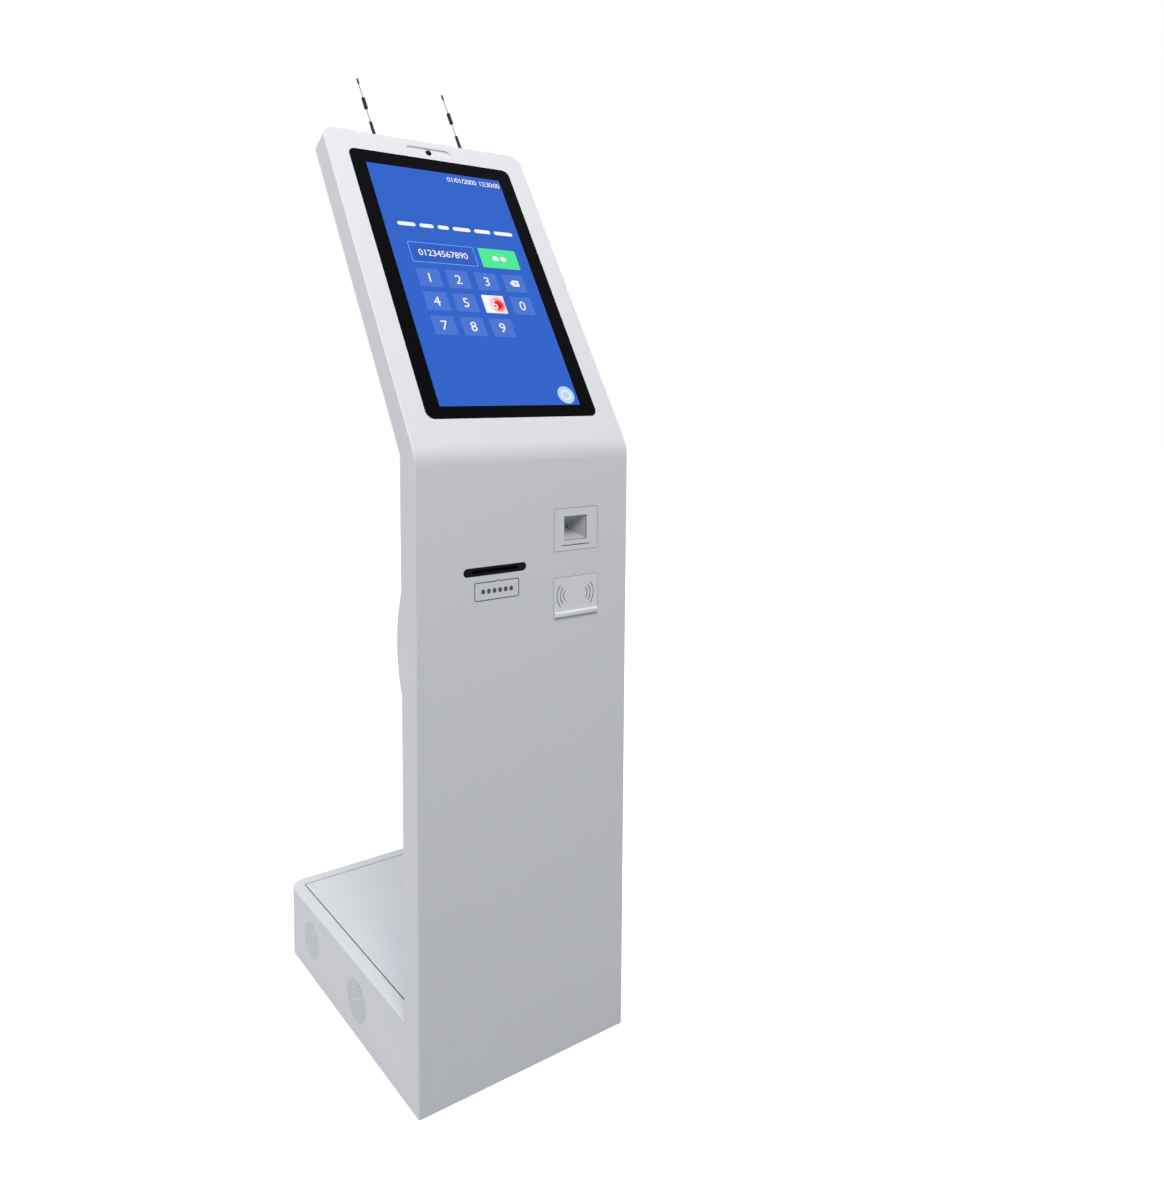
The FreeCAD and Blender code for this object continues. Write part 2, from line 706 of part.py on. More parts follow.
def head_back_cover():
    low = BACK_FOLD_S + 3
    height = HEAD_LENGTH - SHEET - 0.5
    width = 2 * COVER_HALF
    corner = HEAD_CORNER - SHEET
    plate = rounded_prism(0, height / 2, width, height, corner, HEAD_DEPTH - SHEET, HEAD_DEPTH)
    keep = box(-HALF, HALF, HEAD_DEPTH - 2 * SHEET, HEAD_DEPTH + 1, low, HEAD_LENGTH)
    plate = plate.common(keep)
    upper = vent_slots(height - VENT_INSET - FLANGE, HEAD_DEPTH - SHEET - 1, HEAD_DEPTH + 1)
    lower = vent_slots(low + VENT_INSET, HEAD_DEPTH - SHEET - 1, HEAD_DEPTH + 1)
    return lean(plate.cut(group([upper, lower]))).cut(screw_holes(SCREW_RADIUS + FIT))


def cover_screws():
    screws = []
    for x, height, on_head in cover_screw_places():
        depth = HEAD_DEPTH if on_head else COLUMN_DEPTH
        shank = rod(x, depth - 2 * SHEET - 1, height, Y_AXIS, SCREW_RADIUS, 2 * SHEET + 1)
        head = rod(x, depth, height, Y_AXIS, SCREW_HEAD, 2.0)
        socket = rod(x, depth + 0.9, height, Y_AXIS, 1.4, 2.0)
        screw = join([shank, head]).cut(socket)
        screws.append(lean(screw) if on_head else screw)
    return group(screws)


def door_sheet(inset, x0, x1):
    # The door's curved outline between its inner and outer faces.
    chords = []
    for radius, y in ((BULGE_RADIUS, COLUMN_DEPTH), (BULGE_RADIUS - inset, COLUMN_DEPTH - inset)):
        chords.append(math.sqrt(radius ** 2 - (y - BULGE_AXIS) ** 2))
    top = HINGE_HEIGHT - 1
    edges = []
    for chord, shift in ((chords[0], 0), (chords[1], inset)):
        y = COLUMN_DEPTH - shift
        low = Vector(x0, y, DOOR_BOTTOM)
        lower = Vector(x0, y, BULGE_CENTRE - chord)
        crest = Vector(x0, COLUMN_DEPTH + BULGE_RISE - shift, BULGE_CENTRE)
        upper = Vector(x0, y, BULGE_CENTRE + chord)
        edges.append(Part.LineSegment(low, lower).toShape())
        edges.append(Part.Arc(lower, crest, upper).toShape())
        edges.append(Part.LineSegment(upper, Vector(x0, y, top)).toShape())
    for z in (DOOR_BOTTOM, top):
        nearest = Vector(x0, COLUMN_DEPTH, z)
        edges.append(Part.LineSegment(nearest, Vector(x0, COLUMN_DEPTH - inset, z)).toShape())
    return Part.Face(Part.Wire(Part.__sortEdges__(edges))).extrude(Vector(x1 - x0, 0, 0))


def paper_door():
    sheet = door_sheet(SHEET, -COVER_HALF, COVER_HALF)
    ribs = []
    for x0 in (-COVER_HALF, COVER_HALF - SHEET):
        ribs.append(door_sheet(10, x0, x0 + SHEET))
    leaves = hinge_leaf(-1, 2, HINGE_HEIGHT - 12, HINGE_HEIGHT, HINGE_PIN + RUN)
    hole = rod(0, COLUMN_DEPTH - 12, LOCK_HEIGHT, Y_AXIS, LOCK_RADIUS + RUN, 14)
    return join([sheet] + ribs + leaves).cut(hole)


def door_hinge_pin():
    half = 2 * KNUCKLE_PITCH + KNUCKLE_LENGTH / 2 + 1
    return rod(-half, HINGE_Y, HINGE_HEIGHT, X_AXIS, HINGE_PIN, 2 * half)


def lock_body():
    back = COLUMN_DEPTH - 10
    barrel = rod(0, back, LOCK_HEIGHT, Y_AXIS, LOCK_RADIUS, 10)
    flange = rod(0, COLUMN_DEPTH, LOCK_HEIGHT, Y_AXIS, LOCK_FLANGE, 2)
    bore = rod(0, back - 1, LOCK_HEIGHT, Y_AXIS, LOCK_CORE + RUN, 14)
    return join([barrel, flange]).cut(bore)


def lock_core():
    # Turning plug with its key slot, and the cam on its inner end.
    back = COLUMN_DEPTH - 12.5
    core = rod(0, back, LOCK_HEIGHT, Y_AXIS, LOCK_CORE, 14)
    cam = box(-6, CAM_LENGTH, back - SHEET, back, LOCK_HEIGHT - 6, LOCK_HEIGHT + 6)
    key_slot = box(-0.6, 0.6, COLUMN_DEPTH - 4, COLUMN_DEPTH + 3, LOCK_HEIGHT - 3.5, LOCK_HEIGHT + 3.5)
    return join([core, cam]).cut(key_slot)


def footprint(inset, z0, z1):
    # The base in plan, square at the column and rounded at the back corners.
    half = HALF - inset
    rear = BASE_REAR - inset
    radius = BASE_CORNER - inset
    body = box(-half, half, COLUMN_DEPTH, rear - radius, z0, z1)
    tail = box(-half + radius, half - radius, rear - radius - 1, rear, z0, z1)
    corners = []
    for side in (-1, 1):
        corners.append(rod(side * (half - radius), rear - radius, z0, Z_AXIS, radius, z1 - z0))
    return join([body, tail] + corners)


def base_plate():
    rear = footprint(SHEET + 0.5, BOTTOM, FLOOR_TOP)
    front = box(-INNER + 0.5, INNER - 0.5, FRONT_SHEET + 0.2, COLUMN_DEPTH, BOTTOM, FLOOR_TOP)
    holes = []
    for x in (-ANCHOR_X / 2, ANCHOR_X / 2):
        for y in (ANCHOR_CENTRE_Y - ANCHOR_Y / 2, ANCHOR_CENTRE_Y + ANCHOR_Y / 2):
            holes.append(rod(x, y, BOTTOM - 1, Z_AXIS, ANCHOR_RADIUS, BASE_PLATE + 2))
    return join([rear, front]).cut(group(holes))


def foot_pads():
    pads = []
    for x in (-HALF + PAD_INSET, HALF - PAD_INSET):
        for y in (PAD_FRONT, BASE_REAR / 2, BASE_REAR - PAD_INSET):
            pads.append(rod(x, y, 0, Z_AXIS, PAD_RADIUS, PAD_HEIGHT))
    return group(pads)


def perforations(centre_y, centre_z, field):
    holes = []
    row_step = PERFORATION_PITCH * math.sqrt(3) / 2
    rows = int(field / row_step)
    for row in range(-rows, rows + 1):
        shift = PERFORATION_PITCH / 2 if row % 2 else 0
        across = int(field / PERFORATION_PITCH) + 1
        for column in range(-across, across + 1):
            y = column * PERFORATION_PITCH + shift
            z = row * row_step
            if math.hypot(y, z) <= field - PERFORATION:
                place_y = centre_y + y
                holes.append(rod(-HALF - 1, place_y, centre_z + z, X_AXIS, PERFORATION, SHEET + 2))
    return holes


def base_side(side):
    x0 = -HALF if side < 0 else INNER
    plate = box(x0, x0 + SHEET, COLUMN_DEPTH, BASE_REAR - BASE_CORNER, BOTTOM, WALL_TOP)
    if side > 0:
        return plate
    speaker = perforations(SPEAKER_Y, SPEAKER_Z, SPEAKER_FIELD)
    fan = perforations(FAN_Y, FAN_Z, FAN_FIELD)
    return plate.cut(group(speaker + fan))


def base_back():
    wall = footprint(0, BOTTOM, WALL_TOP).cut(footprint(SHEET, BOTTOM - 1, WALL_TOP + 1))
    keep = box(-HALF - 1, HALF + 1, BASE_REAR - BASE_CORNER, BASE_REAR + 1, BOTTOM, WALL_TOP)
    inlet = rounded_prism(INLET_X, INLET_Z, INLET_WIDTH, INLET_HEIGHT, 2, BASE_REAR - 3, BASE_REAR + 1)
    rocker = rounded_prism(ROCKER_X, INLET_Z, ROCKER_WIDTH, ROCKER_HEIGHT, 1, BASE_REAR - 3, BASE_REAR + 1)
    return wall.common(keep).cut(group([inlet, rocker]))


def lid_shape(half, front, rear, radius, z0, z1):
    # The lid in plan, with its two back corners rounded.
    shape = box(-half, half, front, rear, z0, z1)
    corners = []
    for edge in shape.Edges:
        upright = edge.BoundBox.ZLength > (z1 - z0) / 2
        if upright and edge.BoundBox.YMin > rear - 0.01:
            corners.append(edge)
    return shape.makeFillet(radius, corners)


def base_rim():
    # Top frame round the lid: a flat rim with a softened outer edge, and a ledge below for the lid.
    rim = footprint(0, WALL_TOP, BASE_HEIGHT)
    outer_edges = []
    for edge in rim.Edges:
        points = edge.BoundBox
        flat = abs(points.ZMin - BASE_HEIGHT) < 0.01
        if flat and points.YMax > COLUMN_DEPTH + 1:
            outer_edges.append(edge)
    rim = rim.makeFillet(EDGE_ROUND, outer_edges)
    half = HALF - RIM
    rear = BASE_REAR - RIM
    opening = lid_shape(half, COLUMN_DEPTH - 1, rear, LID_CORNER, WALL_TOP - 1, BASE_HEIGHT + 1)
    ring = footprint(RIM - 6, WALL_TOP - SHEET, WALL_TOP)
    ledge_half = half - LEDGE
    hollow = box(-ledge_half, ledge_half, COLUMN_DEPTH + 12, rear - LEDGE, WALL_TOP - 5, WALL_TOP + 1)
    return join([rim.cut(opening), ring.cut(hollow)])


def base_lid():
    half = HALF - RIM - SEAM
    rear = BASE_REAR - RIM - SEAM
    return lid_shape(half, COLUMN_DEPTH + 2 * FIT, rear, LID_CORNER - SEAM, WALL_TOP, BASE_HEIGHT)


def touch_glass():
    middle = (GLASS_LOW + GLASS_HIGH) / 2
    tall = GLASS_HIGH - GLASS_LOW
    return lean(rounded_prism(0, middle, GLASS_WIDTH, tall, GLASS_CORNER, 0, GLASS_THICK))


def display_panel():
    half = DISPLAY_WIDTH / 2
    back = GLASS_THICK + DISPLAY_THICK
    body = box(-half, half, GLASS_THICK, back, DISPLAY_LOW, DISPLAY_HIGH)
    return lean(body)


def display_brackets():
    # Side channels: they carry the glass edges, wrap the display and take the tray's straps behind.
    low = DISPLAY_LOW - 8
    high = DISPLAY_HIGH + 8
    web = DISPLAY_WIDTH / 2 + 2
    edge = INNER - FLANGE - 4
    back = GLASS_THICK + DISPLAY_THICK
    seat = box(web, edge, GLASS_THICK, GLASS_THICK + SHEET, low, high)
    pad = box(GLASS_WIDTH / 2 + 2, edge, FRONT_SHEET, GLASS_THICK, low, high)
    wall = box(web, web + SHEET, GLASS_THICK, back, low, high)
    rear = box(web, edge, back, back + SHEET, low, high)
    bracket = join([seat, pad, wall, rear])
    return lean(group([bracket, bracket.mirror(Vector(0, 0, 0), X_AXIS)]))


def on_board(place, face, middle):
    # Block that stands on a board's face.
    left, right, low, high, tall = place
    return box(left, right, face, face + tall, middle + low, middle + high)


def display_tray():
    # Two straps across the brackets, with a plate on them for the display's board.
    straps_back = GLASS_THICK + DISPLAY_THICK + SHEET
    depth = straps_back + SHEET
    half = INNER - FLANGE - STRAP_SHORT
    low = DISPLAY_MIDDLE - TRAY_REACH
    shapes = [box(-TRAY_HALF, TRAY_HALF, depth, depth + TRAY_SHEET, low, low + 2 * TRAY_REACH)]
    for low in (DISPLAY_MIDDLE - STRAP_BELOW, DISPLAY_MIDDLE + STRAP_ABOVE):
        shapes.append(box(-half, half, straps_back, depth, low, low + STRAP_WIDTH))
    for x in (-TRAY_POST_X, TRAY_POST_X):
        for z in (DISPLAY_MIDDLE - TRAY_POST_S, DISPLAY_MIDDLE + TRAY_POST_S):
            shapes.append(rod(x, depth + TRAY_SHEET, z, Y_AXIS, POST_RADIUS, TRAY_POST))
    return lean(join(shapes))


def display_board():
    depth = GLASS_THICK + DISPLAY_THICK + 2 * SHEET + TRAY_SHEET + TRAY_POST
    half = DISPLAY_BOARD_HALF
    low = DISPLAY_MIDDLE - DISPLAY_BOARD_REACH
    face = depth + BOARD_SHEET
    board = box(-half, half, depth, face, low, low + 2 * DISPLAY_BOARD_REACH)
    chips = [on_board(place, face, DISPLAY_MIDDLE) for place in (DISPLAY_CHIP, DISPLAY_SOCKET)]
    return lean(join([board] + chips))


def camera_bezel():
    # Pill-shaped dish let into the face, with a lip behind the panel and a hole for the lens.
    width = CAMERA_WIDTH - 2 * FIT
    height = CAMERA_HEIGHT - 2 * FIT
    plug = rounded_prism(0, CAMERA_S, width, height, height / 2, 0.2, FRONT_SHEET + 5)
    lip = rounded_prism(0, CAMERA_S, width + 12, height + 8, height / 2 + 4, FRONT_SHEET, FRONT_SHEET + 2)
    dish = rounded_prism(0, CAMERA_S, width - 3, height - 3, height / 2 - 1.5, 0, CAMERA_DISH)
    hole = rod(0, -1, CAMERA_S, Y_AXIS, LENS_RADIUS + RUN, 20)
    shape = join([plug, lip]).cut(group([dish, hole]))
    return lean(shape)


def camera_module():
    # Lens barrel with a domed front, on its board behind the recess.
    front = CAMERA_DISH - 1
    barrel = rod(0, front, CAMERA_S, Y_AXIS, LENS_RADIUS, LENS_LENGTH)
    dome = Part.makeSphere(DOME_RADIUS, Vector(0, front + DOME_CENTRE, CAMERA_S))
    dome = dome.common(rod(0, front - 3, CAMERA_S, Y_AXIS, LENS_RADIUS - 1, 3.5))
    depth = front + LENS_LENGTH
    half = CAMERA_BOARD_HALF
    low = CAMERA_S - CAMERA_BOARD_REACH
    board = box(-half, half, depth, depth + BOARD_SHEET, low, low + 2 * CAMERA_BOARD_REACH)
    sensor = on_board(CAMERA_SENSOR, depth + BOARD_SHEET, CAMERA_S)
    return lean(join([barrel, dome, board, sensor]))


def antenna_bases():
    # Moulded foot of each antenna, with its stud and nut through the head's top edge.
    y = HEAD_DEPTH / 2
    shapes = []
    for x in (-ANTENNA_X, ANTENNA_X):
        foot = Part.makeCone(FOOT_RADIUS, NECK_RADIUS, ANTENNA_FOOT, Vector(x, y, HEAD_LENGTH))
        neck = rod(x, y, HEAD_LENGTH + ANTENNA_FOOT, Z_AXIS, NECK_RADIUS, ANTENNA_NECK)
        stud = rod(x, y, HEAD_LENGTH - 10, Z_AXIS, ANTENNA_STUD, 10)
        nut = rod(x, y, HEAD_LENGTH - SHEET - 3, Z_AXIS, ANTENNA_STUD + 2.3, 3)
        bore = rod(x, y, HEAD_LENGTH + WHIP_START, Z_AXIS, WHIP_RADIUS, ANTENNA_LENGTH)
        shapes.append(lean(join([foot, neck, stud, nut]).cut(bore)))
    return group(shapes)


def antenna_whips():
    # Thin rod of each antenna, in two lengths that end inside the coil cover.
    y = HEAD_DEPTH / 2
    joint = ANTENNA_BARREL_START + 3
    rest = ANTENNA_BARREL_START + ANTENNA_BARREL - 3
    top = ANTENNA_LENGTH - ANTENNA_TIP + 4
    shapes = []
    for x in (-ANTENNA_X, ANTENNA_X):
        for start, end in ((WHIP_START, joint), (rest, top)):
            shapes.append(lean(rod(x, y, HEAD_LENGTH + start, Z_AXIS, WHIP_RADIUS, end - start)))
    return group(shapes)


def antenna_covers():
    # Loading coil cover half way up each antenna and the cap on its end.
    y = HEAD_DEPTH / 2
    low = HEAD_LENGTH + ANTENNA_BARREL_START
    cap_low = HEAD_LENGTH + ANTENNA_LENGTH - ANTENNA_TIP
    shapes = []
    for x in (-ANTENNA_X, ANTENNA_X):
        barrel = rod(x, y, low, Z_AXIS, BARREL_RADIUS, ANTENNA_BARREL)
        barrel = barrel.makeFillet(1.5, [edge for edge in barrel.Edges if edge.Closed])
        for z in (low - 1, low + ANTENNA_BARREL - 3):
            barrel = barrel.cut(rod(x, y, z, Z_AXIS, WHIP_RADIUS, 4))
        cap = rod(x, y, cap_low, Z_AXIS, TIP_RADIUS, ANTENNA_TIP)
        cap = cap.cut(rod(x, y, cap_low - 1, Z_AXIS, WHIP_RADIUS, 5))
        shapes += [lean(barrel), lean(cap)]
    return group(shapes)


def ticket_bezel():
    width = SLOT_WIDTH - 2 * FIT
    height = SLOT_HEIGHT - 2 * FIT
    plug = rounded_prism(SLOT_X, SLOT_Z, width, height, height / 2, 1, FRONT_SHEET + 3)
    lip = rounded_prism(SLOT_X, SLOT_Z, width + 8, height + 2 * LIP, TICKET_LIP_CORNER,
                        FRONT_SHEET, FRONT_SHEET + TICKET_LIP)
    mouth = rounded_prism(SLOT_X, SLOT_Z, MOUTH_WIDTH, MOUTH_HEIGHT, 1, 0, FRONT_SHEET + 6)
    return join([plug, lip]).cut(mouth)


def rectangle_wire(x, z, width, height, y):
    corners = [(-1, -1), (1, -1), (1, 1), (-1, 1), (-1, -1)]
    return Part.makePolygon([Vector(x + a * width / 2, y, z + b * height / 2) for a, b in corners])


def funnel(grow, y0, y1):
    # Four-sided funnel from the window in the face to the small opening at the back.
    front = rectangle_wire(WINDOW_X, WINDOW_Z, WINDOW_WIDTH + grow, WINDOW_HEIGHT + grow, y0)
    back = rectangle_wire(WINDOW_X, WINDOW_Z, FUNNEL_END + grow, FUNNEL_END + grow, y1)
    return Part.makeLoft([front, back], True, True)


def scanner_bezel():
    width = SCANNER_WIDTH - 2 * FIT
    height = SCANNER_HEIGHT - 2 * FIT
    plate = rounded_prism(SCANNER_X, SCANNER_Z, width, height, PLATE_CORNER, 0, FRONT_SHEET + 1)
    lip = rounded_prism(SCANNER_X, SCANNER_Z, width + 2 * LIP, height + 2 * LIP, LIP_CORNER,
                        FRONT_SHEET, FRONT_SHEET + LIP_SHEET)
    shell = funnel(2 * FUNNEL_WALL, 1, FUNNEL_DEPTH)
    low = WINDOW_Z - WINDOW_HEIGHT / 2 - GROOVE_DROP - GROOVE_TALL / 2
    groove = box(WINDOW_X - GROOVE_HALF, WINDOW_X + GROOVE_HALF, -1, GROOVE_DEPTH, low, low + GROOVE_TALL)
    body = join([plate, lip, shell])
    return body.cut(group([funnel(0, 0, FUNNEL_DEPTH), groove]))


def scanner_module():
    # Reader head with a small window tube that closes the funnel's end.
    half = FUNNEL_END / 2 + FUNNEL_WALL
    y0 = FUNNEL_DEPTH
    y1 = y0 + SCANNER_WINDOW
    back = COLUMN_BACK - 2 * SHEET
    window = box(WINDOW_X - half, WINDOW_X + half, y0, y1, WINDOW_Z - half, WINDOW_Z + half)
    lens = rod(WINDOW_X, y0 - 1, WINDOW_Z, Y_AXIS, SCANNER_LENS, 2)
    low = WINDOW_Z - SCANNER_CASE_TALL / 2
    side = SCANNER_CASE_HALF
    case = box(WINDOW_X - side, WINDOW_X + side, y1, back, low, low + SCANNER_CASE_TALL)
    return join([window, lens, case])


def card_plate():
    width = CARD_WIDTH - 2 * FIT
    height = CARD_HEIGHT - 2 * FIT
    plate = rounded_prism(CARD_X, CARD_Z, width, height, PLATE_CORNER, -CARD_PROUD, FRONT_SHEET + 1)
    lip = rounded_prism(CARD_X, CARD_Z, width + 2 * LIP, height + 2 * LIP, LIP_CORNER,
                        FRONT_SHEET, FRONT_SHEET + LIP_SHEET)
    low = CARD_Z - CARD_HEIGHT / 2 + FIT
    ledge = box(CARD_X - width / 2, CARD_X + width / 2, -LEDGE_OUT, -0.1, low, low + CARD_LEDGE)
    soft = []
    for edge in ledge.Edges:
        if edge.BoundBox.YMax < -LEDGE_OUT + 0.01:
            soft.append(edge)
    ledge = ledge.makeFillet(LEDGE_ROUND, soft)
    return join([plate, lip, ledge])


def card_reader():
    y0 = FRONT_SHEET + LIP_SHEET
    low = CARD_Z - READER_TALL / 2
    return box(CARD_X - READER_HALF, CARD_X + READER_HALF, y0, y0 + READER_THICK, low, low + READER_TALL)


def printer_shelf():
    # Folded shelf on the column's front sheet, with a slit for the paper.
    x0 = SLOT_X - CHEEK_OUT - SHELF_SIDE
    x1 = SLOT_X + CHEEK_OUT + SHELF_SIDE
    plate = box(x0, x1, FRONT_SHEET, COLUMN_BACK - SHEET, SHELF_Z, SHELF_Z + SHEET)
    flange = box(x0, x1, FRONT_SHEET, FRONT_SHEET + SHEET, SHELF_Z - SHELF_FLANGE, SHELF_Z)
    half = PAPER_WIDTH / 2 + PAPER_CLEAR
    top = SHELF_Z + SHEET + 1
    slit = box(SLOT_X - half, SLOT_X + half, SHELF_SLIT_FRONT, SHELF_SLIT_REAR, SHELF_Z - 1, top)
    return join([plate, flange]).cut(slit)


def idler_place():
    # Where the idler meshes with both the platen's gear and the motor's pinion.
    reach_a = GEAR_MODULE * (PLATEN_TEETH + IDLER_TEETH) / 2 + GEAR_SLACK
    reach_b = GEAR_MODULE * (PINION_TEETH + IDLER_TEETH) / 2 + GEAR_SLACK
    dy = MOTOR_Y - PLATEN_Y
    dz = MOTOR_Z - PLATEN_Z
    span = math.hypot(dy, dz)
    along = (span ** 2 + reach_a ** 2 - reach_b ** 2) / (2 * span)
    aside = math.sqrt(reach_a ** 2 - along ** 2)
    y = PLATEN_Y + (along * dy - aside * dz) / span
    z = PLATEN_Z + (along * dz + aside * dy) / span
    return y, z


def gear(x, y, z, teeth, phase, bore):
    # Straight teeth on a disc in the YZ plane; phase is the direction of the first tooth.
    pitch = 2 * math.pi / teeth
    radius = GEAR_MODULE * teeth / 2
    root = radius - 1.15 * GEAR_MODULE
    tip = radius + 0.75 * GEAR_MODULE
    points = []
    for tooth in range(teeth):
        middle = phase + tooth * pitch
        for reach, share in ((root, -0.30), (tip, -0.10), (tip, 0.10), (root, 0.30)):
            angle = middle + share * pitch
            points.append((y + reach * math.cos(angle), z + reach * math.sin(angle)))
    disc = outline_prism(points, x, x + GEAR_WIDTH)
    return disc.cut(rod(x - 1, y, z, X_AXIS, bore, GEAR_WIDTH + 2))


def meshing_phase(from_y, from_z, from_teeth, from_phase, to_y, to_z, to_teeth):
    # Phase that puts a gap of the second gear on the tooth of the first along their line of centres.
    line = math.atan2(to_z - from_z, to_y - from_y)
    share = ((line - from_phase) * from_teeth / (2 * math.pi)) % 1
    return line + math.pi - (0.5 - share) * 2 * math.pi / to_teeth


def gear_phases():
    idler_y, idler_z = idler_place()
    idler = meshing_phase(PLATEN_Y, PLATEN_Z, PLATEN_TEETH, 0, idler_y, idler_z, IDLER_TEETH)
    pinion = meshing_phase(idler_y, idler_z, IDLER_TEETH, idler, MOTOR_Y, MOTOR_Z, PINION_TEETH)
    return idler, pinion


def printer_frame():
    # Two cheeks on a floor plate, with the stud for the idler gear on the left cheek.
    shapes = []
    inside = CHEEK_OUT - SHEET
    base_z = SHELF_Z + SHEET
    for side in (-1, 1):
        x0 = SLOT_X - CHEEK_OUT if side < 0 else SLOT_X + inside
        shapes.append(box(x0, x0 + SHEET, CHEEK_FRONT, CHEEK_REAR, base_z, PRINTER_TOP))
    x0 = SLOT_X - CHEEK_OUT
    x1 = SLOT_X + CHEEK_OUT
    shapes.append(box(x0, x1, CHEEK_FRONT, PRINTER_FLOOR_REAR, base_z, base_z + SHEET))
    idler_y, idler_z = idler_place()
    stud_x = SLOT_X - CHEEK_OUT - GEAR_WIDTH - 2 * FIT
    shapes.append(rod(stud_x, idler_y, idler_z, X_AXIS, STUD, GEAR_WIDTH + 2 * FIT + 1))
    frame = join(shapes)
    wide = 2 * CHEEK_OUT + 2
    holes = [rod(SLOT_X - CHEEK_OUT - 1, PLATEN_Y, PLATEN_Z, X_AXIS, PLATEN_SHAFT + RUN, wide)]
    holes.append(rod(SLOT_X - CHEEK_OUT - 1, MOTOR_Y, MOTOR_Z, X_AXIS, 2 * MOTOR_SHAFT, SHEET + 2))
    holes.append(rod(SLOT_X - CHEEK_OUT - 1, COVER_HINGE_Y, COVER_HINGE_Z, X_AXIS, COVER_PIN + RUN, wide))
    return frame.cut(group(holes))


def platen_roller():
    half = PAPER_WIDTH / 2 + 1
    outer = rod(SLOT_X - half, PLATEN_Y, PLATEN_Z, X_AXIS, PLATEN_RADIUS, 2 * half)
    return outer.cut(rod(SLOT_X - half, PLATEN_Y, PLATEN_Z, X_AXIS, PLATEN_SHAFT, 2 * half))


def platen_shaft():
    # Shaft through the roller, with the drive gear on its left end.
    x0 = GEAR_X - 1
    shaft = rod(x0, PLATEN_Y, PLATEN_Z, X_AXIS, PLATEN_SHAFT, SLOT_X + CHEEK_OUT + 1 - x0)
    wheel = gear(GEAR_X, PLATEN_Y, PLATEN_Z, PLATEN_TEETH, 0, PLATEN_SHAFT - 1)
    return join([shaft, wheel])


def idler_gear():
    y, z = idler_place()
    return gear(GEAR_X, y, z, IDLER_TEETH, gear_phases()[0], STUD + RUN)


def motor_pinion():
    pinion = gear(GEAR_X, MOTOR_Y, MOTOR_Z, PINION_TEETH, gear_phases()[1], MOTOR_SHAFT)
    x1 = SLOT_X - CHEEK_OUT + SHEET + MOTOR_SHAFT_IN
    shaft = rod(GEAR_X, MOTOR_Y, MOTOR_Z, X_AXIS, MOTOR_SHAFT, x1 - GEAR_X)
    return join([pinion, shaft])


def motor():
    x0 = SLOT_X - CHEEK_OUT + SHEET
    can = rod(x0, MOTOR_Y, MOTOR_Z, X_AXIS, MOTOR_RADIUS, MOTOR_LENGTH)
    return can.cut(rod(x0 - 1, MOTOR_Y, MOTOR_Z, X_AXIS, MOTOR_SHAFT + RUN, MOTOR_BORE))


def cutter_frame():
    # Block in front of the platen, with the paper's slot and a channel for the blade.
    x0 = SLOT_X - CHEEK_OUT
    x1 = SLOT_X + CHEEK_OUT
    block = box(x0, x1, CUTTER_FRONT, CHEEK_FRONT, SHELF_Z + SHEET, PRINTER_TOP - CUTTER_BELOW_TOP)
    half = PAPER_WIDTH / 2 + CUTTER_SIDE
    low = PAPER_Z - CUTTER_SLOT_HALF
    high = PAPER_Z + CUTTER_SLOT_HALF
    slot = box(SLOT_X - half, SLOT_X + half, CUTTER_FRONT - 1, CHEEK_FRONT + 1, low, high)
    low = PAPER_Z - CHANNEL_BELOW
    channel = box(SLOT_X - half, SLOT_X + half, CHANNEL_FRONT, CHANNEL_REAR, low, PRINTER_TOP)
    return block.cut(group([slot, channel]))


def cutter_blade():
    half = PAPER_WIDTH / 2 + CUTTER_SIDE - BLADE_CLEAR
    y0 = CHANNEL_FRONT + BLADE_CLEAR
    y1 = CHANNEL_REAR - BLADE_CLEAR
    return box(SLOT_X - half, SLOT_X + half, y0, y1, PAPER_Z + BLADE_RAISE, PRINTER_TOP + BLADE_STANDS)


def printer_cover():
    # Lid over the platen, turning about a pin at its front; the print head hangs under it.
    half = CHEEK_OUT - SHEET - COVER_SIDE
    top = COVER_HINGE_Z + SHEET
    plate = box(SLOT_X - half, SLOT_X + half, COVER_HINGE_Y - COVER_NOSE, COVER_REAR, COVER_HINGE_Z, top)
    arms = []
    low = COVER_HINGE_Z - ARM_DROP
    high = COVER_HINGE_Z + ARM_RAISE
    for side in (-1, 1):
        x0 = SLOT_X - half if side < 0 else SLOT_X + half - SHEET
        arms.append(box(x0, x0 + SHEET, COVER_HINGE_Y - ARM_NOSE, ARM_REAR, low, high))
    length = 2 * CHEEK_OUT
    pin = rod(SLOT_X - CHEEK_OUT, COVER_HINGE_Y, COVER_HINGE_Z, X_AXIS, COVER_PIN, length)
    tab = box(SLOT_X + TAB_X, SLOT_X + half, TAB_FRONT, TAB_REAR, top, COVER_HINGE_Z + TAB_TOP)
    return join([plate, pin, tab] + arms)


def thermal_head():
    half = PAPER_WIDTH / 2
    z1 = PAPER_Z + SINK_RAISE
    element = box(SLOT_X - half, SLOT_X + half, HEAD_FRONT, HEAD_REAR, PAPER_Z + HEAD_GAP, z1)
    sink = box(SLOT_X - half, SLOT_X + half, SINK_FRONT, SINK_REAR, z1, COVER_HINGE_Z)
    return join([element, sink])


